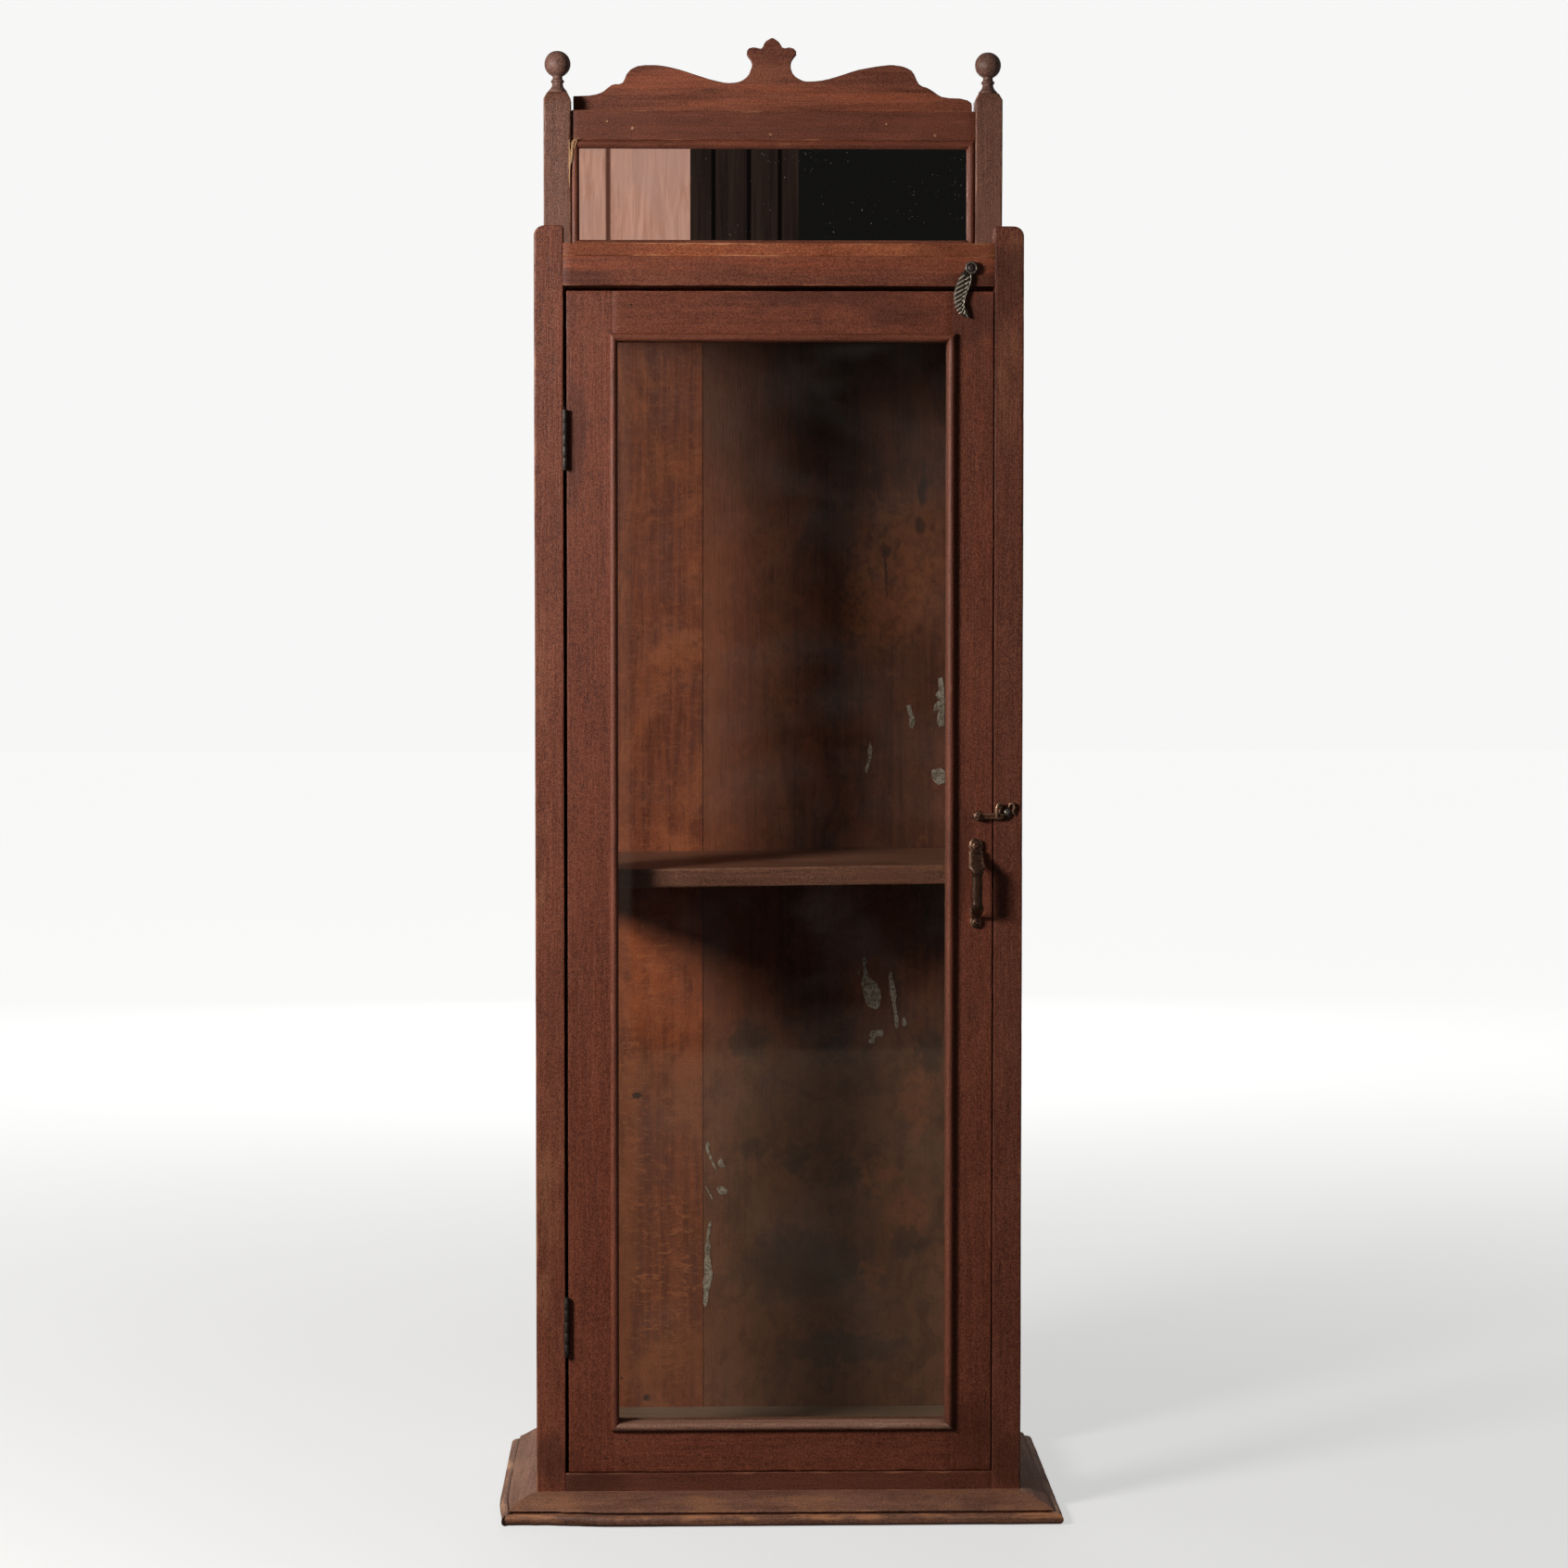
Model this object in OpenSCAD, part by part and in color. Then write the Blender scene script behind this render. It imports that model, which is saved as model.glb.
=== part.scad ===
// Narrow glazed single-door cabinet with a mirrored gallery on top.
// +X is the viewer's right, the door faces -Y, +Z is up.
// The origin is on the floor, under the middle of the whole object's box.

/* [Case] */
// Width over the corner posts
case_w = 422; // [380:1:480]
// Depth over the corner posts
case_d = 210; // [180:1:260]
// Side of the square corner posts
post = 25; // [22:1:30]
// Underside of the top board
top_z = 1094; // [1000:1:1200]
// Thickness of the top board
top_t = 11; // [9:1:14]
// Height of the front posts' ears over the top board
ear_h = 15; // [8:1:25]
// Height of the front rail under the top board
rail_top_h = 25.5; // [18:0.5:40]
// Height of the front rail at the floor
rail_bot_h = 38; // [30:1:50]
// Thickness of the front rails
rail_t = 21; // [18:1:24]
// Thickness of the back boards
back_t = 8; // [6:1:12]
// Where the two back boards meet, from the middle
back_joint_x = -65; // [-120:1:120]

/* [Interior] */
// Thickness of the shelf
shelf_t = 16.5; // [12:0.5:22]
// Top of the shelf at its left end
shelf_left_z = 562.5; // [300:0.5:800]
// Top of the shelf at its right end, a little higher
shelf_right_z = 567; // [300:0.5:800]
// Front edge of the shelf, behind the face of the case
shelf_y = 26; // [24:1:60]

/* [Base moulding] */
// How far the moulding stands out from the case
base_p = 34; // [25:1:45]
// Height of the moulding against the case
base_h = 22; // [18:1:30]

/* [Door] */
// Gap on the hinge side
gap_hinge = 3; // [2:0.1:4]
// Gap on the latch side
gap_latch = 1.2; // [0.8:0.1:3]
// Gap over the door
gap_top = 4.5; // [2:0.1:6]
// Gap under the door
gap_bot = 1; // [0.8:0.1:3]
// Thickness of the door
door_t = 20; // [18:1:24]
// Width of the hinge stile
stile_l = 39; // [34:1:50]
// Width of the latch stile
stile_r = 35; // [30:1:50]
// Height of the door's rails
door_rail = 38.5; // [32:0.5:50]
// Width of the glazing bead
bead_w = 6.8; // [5:0.1:10]
// How far the bead overlaps the door frame
bead_lip = 2.2; // [1:0.1:4]
// How far the bead stands out of the door's face
bead_out = 4.5; // [4:0.5:8]
// Thickness of the glass
glass_t = 3; // [2:0.5:4]

/* [Hinges] */
// Length of a hinge
hinge_len = 50; // [40:5:65]
// Middle of the upper hinge
hinge_up_z = 936; // [850:1:1000]
// Middle of the lower hinge
hinge_low_z = 167; // [120:1:260]
// Radius of the knuckles
knuckle_r = 2.4; // [2.3:0.1:3]
// Radius of the pin
pin_r = 1.2; // [1.1:0.05:1.3]

/* [Hardware] */
// Middle of the pull handle, across
pull_x = 170.4; // [165:0.5:175]
// Upper screw of the pull
pull_top_z = 585.5; // [560:0.5:600]
// Lower screw of the pull
pull_bot_z = 519.3; // [500:0.5:530]
// How far the grip's middle stands out of the door
pull_out = 15; // [13:0.5:20]
// Latch pivot, across
latch_x = 171.8; // [168:0.2:176]
// Latch pivot, height
latch_z = 611.4; // [600:0.2:640]
// Turn button pivot, across
wing_x = 165.2; // [160:0.2:170]
// Turn button pivot, height
wing_z = 1083.9; // [1080:0.1:1090]

/* [Gallery] */
// Top of the back posts
gallery_z = 1264; // [1200:1:1320]
// Underside of the top rail
gal_rail_z = 1220; // [1180:1:1240]
// Height of the top rail
gal_rail_h = 26; // [20:1:40]
// Height of the bottom rail
gal_low_h = 16; // [12:1:30]
// Width of the mirror bead
mirror_bead = 7.5; // [6:0.5:10]
// Thickness of the mirror
mirror_t = 3; // [2:0.5:5]
// Thickness of the crest board
crest_t = 9; // [7:1:12]
// Radius of the ball finials
ball_r = 11.8; // [10:0.1:14]

/* [Hidden] */
$fn = 48;
mid_y = (case_d - base_p)/2;     // middle of the box from the moulding's nose to the back
c = 0.05;                       // drilled holes are this much larger in radius
xo = case_w/2;                  // outer face of the posts
xi = xo - post;                 // inner face of the posts
yb = case_d - post;             // front face of the back posts
yw = case_d - back_t;           // inner face of the back boards
door_x0 = -xi + gap_hinge;
door_x1 = xi - gap_latch;
door_z0 = rail_bot_h + gap_bot;
door_z1 = top_z - rail_top_h - gap_top;
open_x0 = door_x0 + stile_l;    // the opening in the door frame
open_x1 = door_x1 - stile_r;
open_z0 = door_z0 + door_rail;
open_z1 = door_z1 - door_rail;
bead_in = bead_w - bead_lip;
glass_y = 8;
axis_x = -xi + gap_hinge/2;     // hinge axis
axis_y = -knuckle_r;
seg = hinge_len/5;
ten = 9;                        // tenon length
mir_y = yb + 6;                 // front of the mirror
gal_y0 = yb + 3;                // front of the gallery rails
gal_y1 = yb + 16;
mir_z0 = top_z + top_t + gal_low_h;
side_t = 18;                    // thickness of the side rails
side_top_h = 46;
side_bot_h = 46;
pane_x = xo - 11;               // outer face of the side panes
pane_t = 3;
case_in = xo - 18;              // inner face of the side frames

wood = [0.36, 0.15, 0.11];
wood_dark = [0.27, 0.12, 0.09];
wood_light = [0.50, 0.26, 0.17];
iron = [0.16, 0.13, 0.11];
bronze = [0.36, 0.23, 0.15];

// ---------------------------------------------------------------- helpers
module box(x0, x1, y0, y1, z0, z1) {
  translate([x0, y0, z0]) cube([x1 - x0, y1 - y0, z1 - z0]);
}
// s is -1 for the left of the case and +1 for the right
module at_side(s) { if (s < 0) mirror([1, 0, 0]) children(); else children(); }
// a cylinder along Y, from y0 back to y1
module rod_y(x, z, y0, y1, r) {
  translate([x, y1, z]) rotate([90, 0, 0]) cylinder(r = r, h = y1 - y0);
}
// a cylinder along X
module rod_x(y, z, x0, x1, r) {
  translate([x0, y, z]) rotate([0, 90, 0]) cylinder(r = r, h = x1 - x0);
}

// ---------------------------------------------------------------- nails
// Brads that hold the mouldings, the top board and the back boards.
module case_nails_shape(g) {
  for (x = [-150, -50, 50, 150]) rod_y(x, 8, -18, 8, 0.8 + g);
  for (s = [-1, 1]) for (y = [42, 115, 198]) at_side(s) rod_x(y, 8, xo - 8, xo + 18, 0.8 + g);
  for (x = [-160, -20, 80, 169]) translate([x, 10, top_z - 14]) cylinder(r = 1.1 + g, h = 14 + top_t + g);
  for (x = [-170, -100, -30, 60, 120, 170]) for (z = [35, top_z + 5.5])
    rod_y(x, z, yw - 14, case_d + g, 1 + g);
}

// ---------------------------------------------------------------- posts
module front_post() {
  r = 9;
  difference() {
    union() {
      box(xi, xo, 0, post, 0, top_z + top_t + ear_h - r);
      box(xi, xo - r, 0, post, 0, top_z + top_t + ear_h);
      rod_y(xo - r, top_z + top_t + ear_h - r, 0, post, r);
    }
    // mortises for the front rails and the side rails
    box(xi - 1, xi + ten + c, 6 - c, 15 + c, top_z - rail_top_h + 4 - c, top_z - 4 + c);
    box(xi - 1, xi + ten + c, 6 - c, 15 + c, 6 - c, rail_bot_h - 6 + c);
    side_tenons(c);
    side_groove();
  }
}
// the tenons of the side rails, and the groove for the side pane
module side_tenons(g) {
  for (z = [[8, side_bot_h - 8], [top_z - side_top_h + 8, top_z - 8]])
    box(xo - 14 - g, xo - 6 + g, post - ten - g, case_d - post + ten + g, z[0] - g, z[1] + g);
}
module side_groove() {
  box(pane_x - pane_t - c, pane_x + c, post - 6 - c, case_d - post + 6 + c, side_bot_h - 6 - c, top_z - side_top_h + 6 + c);
}
module back_post() {
  difference() {
    intersection() {
      box(xi, xo, yb, case_d, 0, gallery_z);
      // chamfered shoulders, seen from the front and from the side
      translate([0, case_d + 1, 0]) rotate([90, 0, 0]) linear_extrude(post + 2)
        polygon([[xi, 0], [xo, 0], [xo, gallery_z - 5], [xo - 4, gallery_z], [xi + 4, gallery_z], [xi, gallery_z - 5]]);
      translate([xi - 1, 0, 0]) rotate([90, 0, 90]) linear_extrude(post + 2)
        polygon([[yb, 0], [case_d, 0], [case_d, gallery_z - 5], [case_d - 4, gallery_z], [yb + 4, gallery_z], [yb, gallery_z - 5]]);
    }
    // rabbet for the back boards
    box(xi - 1, xi + 8, yw, case_d + 1, 22, top_z + top_t);
    side_tenons(c);
    side_groove();
    // mortises for the gallery rails
    box(xi - 1, xi + ten + c, gal_y0 + 3 - c, gal_y1 - 3 + c, gal_rail_z + 4 - c, gal_rail_z + gal_rail_h - 4 + c);
    box(xi - 1, xi + ten + c, gal_y0 + 3 - c, gal_y1 - 3 + c, top_z + top_t + 4 - c, top_z + top_t + gal_low_h - 4 + c);
    // socket for the finial's peg
    translate([(xi + xo)/2, (yb + case_d)/2, gallery_z - 16]) cylinder(r = 4, h = 20);
  }
}
module front_post_left() color(wood) difference() { at_side(-1) front_post(); hinge_screws(-1, c); nails_cut(); }
module front_post_right() color(wood) difference() {
  front_post();
  rod_y(keeper_x, keeper_z, -1, 13, 1 + c);
  nails_cut();
}
module back_post_left() color(wood) difference() { at_side(-1) back_post(); nails_cut(); }
module back_post_right() color(wood) difference() { back_post(); nails_cut(); }
module nails_cut() { case_nails_shape(c); }

// ---------------------------------------------------------------- finials
module finial() {
  translate([(xi + xo)/2, (yb + case_d)/2, gallery_z]) rotate_extrude()
    union() {
      polygon([[0, -14], [3.95, -14], [3.95, 0], [8.6, 0], [8.6, 2], [6.2, 4.5], [5, 7], [5, 9],
               [5.8, 9.2], [6.2, 10.2], [5.8, 11.3], [4.4, 11.6], [4.4, 16], [0, 16]]);
      intersection() {
        translate([0, 14.6 + ball_r]) circle(r = ball_r);
        translate([0, 10]) square([20, 40]);
      }
    }
}
module finial_left() color(wood_dark) at_side(-1) finial();
module finial_right() color(wood_dark) finial();

// ---------------------------------------------------------------- sides
module side_rail(z0, z1) {
  difference() {
    union() {
      box(xo - side_t, xo, post, yb, z0, z1);
      box(xo - 14, xo - 6, post - ten, yb + ten, z0 + 8, z1 - 8);
    }
    side_groove();
  }
}
module side_rail_top() side_rail(top_z - side_top_h, top_z);
module side_rail_bottom() side_rail(0, side_bot_h);
module side_glass() box(pane_x - pane_t, pane_x, post - 5.5, yb + 5.5, side_bot_h - 5.5, top_z - side_top_h + 5.5);
module side_glass_left() color([0.7, 0.75, 0.72, 0.4]) at_side(-1) side_glass();
module side_glass_right() color([0.7, 0.75, 0.72, 0.4]) side_glass();
module side_rail_top_left() color(wood) at_side(-1) side_rail_top();
module side_rail_top_right() color(wood) side_rail_top();
module side_rail_bottom_left() color(wood) difference() { at_side(-1) side_rail_bottom(); nails_cut(); }
module side_rail_bottom_right() color(wood) difference() { side_rail_bottom(); nails_cut(); }

// ---------------------------------------------------------------- back
module back_board(x0, x1) {
  difference() { box(x0, x1, yw, case_d, 22, top_z + top_t); nails_cut(); }
}
module back_board_left() color(wood_dark) back_board(-xi - 7.5, back_joint_x - 0.3);
module back_board_right() color(wood_dark) back_board(back_joint_x + 0.3, xi + 7.5);

// ---------------------------------------------------------------- boards
module top_board() color(wood_light) difference() {
  box(-xo, xo, 0, yw, top_z, top_z + top_t);
  for (s = [-1, 1]) at_side(s) {
    box(xi, xo + 1, -1, post, top_z - 1, top_z + top_t + 1);
    box(xi, xo + 1, yb, case_d, top_z - 1, top_z + top_t + 1);
  }
  nails_cut();
}
module front_rail(z0, z1, m) {
  difference() {
    union() {
      box(-xi, xi, 0, rail_t, z0, z1);
      box(-xi - ten, xi + ten, 6, 15, z0 + m, z1 - m);
    }
    nails_cut();
  }
}
module top_front_rail() color(wood) difference() {
  front_rail(top_z - rail_top_h, top_z, 4);
  rod_y(wing_x, wing_z, -1, 15, 1.5 + c);
}
module bottom_front_rail() color(wood) front_rail(0, rail_bot_h, 6);
module bottom_board() color(wood_dark) difference() {
  box(-xo + side_t, xo - side_t, rail_t, yw, 29.5, 41);
  for (s = [-1, 1]) at_side(s) {
    box(xi, xo, 0, post, 20, 60);
    box(xi, xo, yb, case_d, 20, 60);
  }
  nails_cut();
}
// The shelf rests on two cleats, and lies a little lower at its left end.
function shelf_top(x) = shelf_left_z + (shelf_right_z - shelf_left_z)*(x + xo)/case_w;
module shelf_band(x0, x1, y0, y1, down, h) {
  translate([0, y1, 0]) rotate([90, 0, 0]) linear_extrude(y1 - y0)
    polygon([[x0, shelf_top(x0) - down - h], [x1, shelf_top(x1) - down - h],
             [x1, shelf_top(x1) - down], [x0, shelf_top(x0) - down]]);
}
module shelf() color(wood_dark) difference() {
  shelf_band(-case_in - 2, case_in + 2, shelf_y, yw, 0, shelf_t);
  for (s = [-1, 1]) at_side(s) box(xi, xo, yb, case_d, 400, 700);
}
module shelf_cleat_left() color(wood_dark) shelf_band(-case_in - 2, -xi - 0.5, post, yb, shelf_t + 0.05, 18);
module shelf_cleat_right() color(wood_dark) shelf_band(xi + 0.5, case_in + 2, post, yb, shelf_t + 0.05, 18);
module glue_blocks() color(wood_dark) {
  for (x = [-120, 0, 120]) box(x - 20, x + 20, rail_t, rail_t + 16, 12, 29.5);
  for (s = [-1, 1]) at_side(s) for (y = [60, 140])
    box(xo - side_t - 16, xo - side_t, y - 18, y + 18, 12, 29.5);
}

// ---------------------------------------------------------------- base moulding
// Section of the moulding: a low ogee, a quirk and a rounded nose.
// The first number is the distance out from the case, the second the height.
module base_section() {
  union() {
    polygon([[0, 0], [28, 0], [28, 10], [27, 9.4], [26.2, 10.8], [24, 12], [20, 14], [15, 17],
             [10, 19.8], [6, 21.3], [2.5, base_h], [0, base_h]]);
    translate([base_p - 5.3, 5.3]) circle(r = 5.3);
    translate([28, 0]) square([base_p - 5.3 - 28, 10.6]);
  }
}
module base_front() {
  difference() {
    translate([-xo - base_p - 1, 0, 0]) rotate([90, 0, 90])
      linear_extrude(case_w + 2*base_p + 2) mirror([1, 0]) base_section();
    for (s = [-1, 1]) at_side(s) translate([xo, 0, -1]) linear_extrude(40)
      polygon([[0, 0], [60, -60], [60, 10], [0, 10]]);
    nails_cut();
  }
}
module base_side() {
  difference() {
    translate([xo, case_d, 0]) rotate([90, 0, 0]) linear_extrude(case_d + base_p + 1) base_section();
    translate([xo, 0, -1]) linear_extrude(40) polygon([[0, 0], [60, -60], [-10, -60], [-10, 0]]);
  }
}
module base_moulding_front() color(wood) base_front();
module base_moulding_left() color(wood) difference() { at_side(-1) base_side(); nails_cut(); }
module base_moulding_right() color(wood) difference() { base_side(); nails_cut(); }

// ---------------------------------------------------------------- gallery
module gallery_rail(z0, z1) {
  box(-xi, xi, gal_y0, gal_y1, z0, z1);
  box(-xi - ten, xi + ten, gal_y0 + 3, gal_y1 - 3, z0 + 4, z1 - 4);
}
module gallery_top_rail() color(wood) difference() {
  gallery_rail(gal_rail_z, gal_rail_z + gal_rail_h);
  crest_screws_shape(c);
}
module gallery_bottom_rail() color(wood) gallery_rail(top_z + top_t, mir_z0);
module crest_screws_shape(g) {
  for (x = [-140, 0, 140]) {
    rod_y(x, gal_rail_z + 15, gal_y0 + 4, gal_y1 + crest_t, 1.3 + g);
    rod_y(x, gal_rail_z + 15, gal_y1 + crest_t - 1.8, gal_y1 + crest_t, 3 + g);
  }
}
module crest_screws() color(iron) crest_screws_shape(0);
// Half of the crest's outline, from the tip of the crown down to its end.
crest_half = [
  [0, 1316], [3.5, 1315.4], [6, 1312.6], [7.5, 1309], [10, 1305.8], [14, 1306.5], [18, 1305],
  [21, 1302.5], [22, 1300], [21, 1297], [19, 1294], [17.8, 1290], [18.5, 1286], [20.5, 1281],
  [23, 1277], [27, 1274.8], [33, 1273.6], [40, 1273.2], [50, 1275.5], [60, 1279], [70, 1282.5],
  [80, 1286], [90, 1288.6], [100, 1289.8], [108, 1290], [115, 1289], [121, 1287], [125.5, 1283.5],
  [128.5, 1279], [130, 1275], [132, 1272], [138, 1270.5], [143, 1269], [147, 1266], [151, 1263],
  [156, 1261], [164, 1260], [174, 1259.5], [181, 1258.5], [184.5, 1255], [184.5, 1222]];
module crest_board() color(wood) difference() {
  translate([0, gal_y1 + crest_t, 0]) rotate([90, 0, 0]) linear_extrude(crest_t)
    polygon(concat(crest_half, [for (i = [len(crest_half) - 1 : -1 : 1]) [-crest_half[i][0], crest_half[i][1]]]));
  crest_screws_shape(c);
}
module mirror_glass() color([0.75, 0.75, 0.75])
  box(-xi + 0.4, xi - 0.4, mir_y, mir_y + mirror_t, mir_z0 + 0.2, gal_rail_z - 0.2);
module mirror_backing() color(wood_dark)
  box(-xi + 0.4, xi - 0.4, mir_y + mirror_t, mir_y + mirror_t + 5, mir_z0 + 0.2, gal_rail_z - 0.2);
// Mitred beads in front of the mirror. The section's first number is depth, back to the
// mirror at 0, and the second is the distance in from the bead's outer edge.
module mirror_bead_section() {
  r = mirror_bead/2;
  union() {
    intersection() { translate([-6 + r, r]) circle(r = r); translate([-6, 0]) square([6, mirror_bead]); }
    translate([-6 + r, 0]) square([6 - r, mirror_bead]);
  }
}
// runs along X from 0 to len with its outer edge at Z = 0, mitred at both ends
module mirror_bead(len) {
  intersection() {
    rotate([90, 0, 90]) linear_extrude(len) mirror_bead_section();
    translate([0, 20, 0]) rotate([90, 0, 0]) linear_extrude(40)
      polygon([[0, 0], [len, 0], [len - 20, 20], [20, 20]]);
  }
}
module mirror_bead_bottom() color(wood) translate([-xi, mir_y, mir_z0]) mirror_bead(2*xi);
module mirror_bead_top() color(wood) translate([-xi, mir_y, gal_rail_z]) mirror([0, 0, 1]) mirror_bead(2*xi);
module mirror_bead_right() color(wood) translate([xi, mir_y, mir_z0]) rotate([0, -90, 0]) mirror_bead(gal_rail_z - mir_z0);
module mirror_bead_left() color(wood) translate([-xi, mir_y, mir_z0]) mirror([1, 0, 0]) rotate([0, -90, 0]) mirror_bead(gal_rail_z - mir_z0);

// ---------------------------------------------------------------- door
module door_mortises(x, s) {
  for (z = [[door_z0 + 7, open_z0 - 7], [open_z1 + 7, door_z1 - 7]])
    if (s < 0) box(x - ten*2 - c, x + 1, 6 - c, 14 + c, z[0] - c, z[1] + c);
    else box(x - 1, x + ten*2 + c, 6 - c, 14 + c, z[0] - c, z[1] + c);
}
module door_stile_left() color(wood) difference() {
  box(door_x0, open_x0, 0, door_t, door_z0, door_z1);
  door_mortises(open_x0, -1);
  hinge_screws(1, c);
}
module door_stile_right() color(wood) difference() {
  box(open_x1, door_x1, 0, door_t, door_z0, door_z1);
  door_mortises(open_x1, 1);
  for (z = [pull_top_z, pull_bot_z]) rod_y(pull_x, z, -1, 12, 1.4 + c);
  rod_y(latch_x, latch_z, -1, 12, 1.2 + c);
}
module door_rail(z0, z1) {
  box(open_x0, open_x1, 0, door_t, z0, z1);
  box(open_x0 - ten*2, open_x1 + ten*2, 6, 14, z0 + 7, z1 - 7);
}
module door_rail_top() color(wood) door_rail(open_z1, door_z1);
module door_rail_bottom() color(wood) door_rail(door_z0, open_z0);
module door_glass() color([0.7, 0.75, 0.72, 0.4])
  box(open_x0 + 0.5, open_x1 - 0.5, glass_y, glass_y + glass_t, open_z0 + 0.5, open_z1 - 0.5);
// Bead section: depth first, then distance in from its outer edge
module bead_section() {
  r = bead_w/2;
  union() {
    intersection() {
      translate([-bead_out + r, r]) circle(r = r);
      translate([-bead_out, 0]) square([bead_out, bead_w]);
    }
    translate([-bead_out + r, 0]) square([bead_out - r, bead_w]);
    translate([-bead_out + r, bead_lip]) square([glass_y + bead_out - r, bead_in]);
  }
}
module bead(len) {
  intersection() {
    rotate([90, 0, 90]) linear_extrude(len) bead_section();
    translate([0, 20, 0]) rotate([90, 0, 0]) linear_extrude(40)
      polygon([[0, 0], [len, 0], [len - 20, 20], [20, 20]]);
  }
}
bx0 = open_x0 - bead_lip; bx1 = open_x1 + bead_lip;
bz0 = open_z0 - bead_lip; bz1 = open_z1 + bead_lip;
module glass_bead_bottom() color(wood) translate([bx0, 0, bz0]) bead(bx1 - bx0);
module glass_bead_top() color(wood) translate([bx0, 0, bz1]) mirror([0, 0, 1]) bead(bx1 - bx0);
module glass_bead_right() color(wood) translate([bx1, 0, bz0]) rotate([0, -90, 0]) bead(bz1 - bz0);
module glass_bead_left() color(wood) translate([bx0, 0, bz0]) mirror([1, 0, 0]) rotate([0, -90, 0]) bead(bz1 - bz0);
module glass_fillets() color(wood_dark) {
  f = 4.5; y0 = glass_y + glass_t; y1 = door_t - 2;
  box(open_x0, open_x1, y0, y1, open_z0, open_z0 + f);
  box(open_x0, open_x1, y0, y1, open_z1 - f, open_z1);
  box(open_x0, open_x0 + f, y0, y1, open_z0 + f + 0.2, open_z1 - f - 0.2);
  box(open_x1 - f, open_x1, y0, y1, open_z0 + f + 0.2, open_z1 - f - 0.2);
}

// ---------------------------------------------------------------- hinges
// s is -1 for the leaf on the case and 1 for the leaf on the door
module leaf(zc, s) {
  z0 = zc - hinge_len/2;
  ks = s < 0 ? [0, 2, 4] : [1, 3];
  t = 1.1;
  x0 = s < 0 ? -xi : door_x0 - t;
  difference() {
    union() {
      box(x0, x0 + t, 0.4, 18, z0, z0 + hinge_len);
      for (k = ks) {
        translate([axis_x, axis_y, z0 + k*seg + 0.15]) cylinder(r = knuckle_r, h = seg - 0.3);
        box(x0, x0 + t, -1, 0.5, z0 + k*seg + 0.15, z0 + (k + 1)*seg - 0.15);
      }
    }
    translate([axis_x, axis_y, z0 - 1]) cylinder(r = pin_r + c, h = hinge_len + 2);
    hinge_screws(s, c);
  }
}
module hinge_screws(s, g) {
  for (zc = [hinge_up_z, hinge_low_z]) for (d = [[-18, 8], [0, 12], [18, 8]])
    if (s < 0) {
      rod_x(d[1], zc + d[0], -xi - 10, -xi + 1.05, 1 + g);
      rod_x(d[1], zc + d[0], -xi + 0.3, -xi + 1.05 + g, 2 + g);
    } else {
      rod_x(d[1], zc + d[0], door_x0 - 1.05, door_x0 + 10, 1 + g);
      rod_x(d[1], zc + d[0], door_x0 - 1.05 - g, door_x0 - 0.3, 2 + g);
    }
}
module hinge_upper_case_leaf() color(iron) leaf(hinge_up_z, -1);
module hinge_lower_case_leaf() color(iron) leaf(hinge_low_z, -1);
module hinge_upper_door_leaf() color(iron) leaf(hinge_up_z, 1);
module hinge_lower_door_leaf() color(iron) leaf(hinge_low_z, 1);
module hinge_pins() color(iron) for (zc = [hinge_up_z, hinge_low_z]) translate([axis_x, axis_y, zc]) {
  translate([0, 0, -hinge_len/2 - 0.5]) cylinder(r = pin_r, h = hinge_len + 1);
  for (k = [-1, 1]) translate([0, 0, k*(hinge_len/2 + 0.4) - 0.5]) cylinder(r = 2, h = 1);
}
module case_hinge_screws() color(iron) hinge_screws(-1, 0);
module door_hinge_screws() color(iron) hinge_screws(1, 0);

// ---------------------------------------------------------------- pull handle
module door_pull() color(bronze) difference() {
  union() {
    // upper and lower lugs, screwed flat to the stile
    rod_y(pull_x, pull_top_z, -3, 0, 6);
    box(pull_x - 6.2, pull_x + 6.2, -4, 0, pull_top_z - 9, pull_top_z - 2);
    rod_y(pull_x, pull_bot_z, -3, 0, 5.4);
    // sloping strap and its shoulder, over the grip
    hull() {
      translate([pull_x - 7.2, -5, pull_top_z - 9]) cube([14.4, 4, 3]);
      translate([pull_x - 7.2, -pull_out - 3, pull_top_z - 21]) cube([14.4, 5, 3]);
    }
    hull() {
      translate([pull_x - 7.2, -pull_out - 3, pull_top_z - 21]) cube([14.4, 5, 3]);
      translate([pull_x, -pull_out, pull_top_z - 24]) cylinder(r = 4.2, h = 2, $fn = 32);
    }
    // grip
    translate([pull_x, -pull_out, pull_bot_z + 14]) cylinder(r = 4.4, h = pull_top_z - pull_bot_z - 37);
    translate([pull_x, -pull_out, pull_top_z - 25.5]) cylinder(r = 5, h = 1.6);
    translate([pull_x, -pull_out, pull_bot_z + 15]) cylinder(r = 5, h = 1.6);
    // strap back to the lower lug
    hull() {
      translate([pull_x, -pull_out, pull_bot_z + 14]) cylinder(r = 4.4, h = 2, $fn = 32);
      translate([pull_x - 5.6, -pull_out - 2.5, pull_bot_z + 9]) cube([11.2, 5, 3]);
    }
    hull() {
      translate([pull_x - 5.6, -pull_out - 2.5, pull_bot_z + 9]) cube([11.2, 5, 3]);
      translate([pull_x - 4.5, -4, pull_bot_z + 1.5]) cube([9, 4, 4]);
    }
  }
  for (z = [pull_top_z, pull_bot_z]) {
    rod_y(pull_x, z, -8, 1, 1.4 + c);
    rod_y(pull_x, z, -9, -3, 3.2);
  }
}
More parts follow.
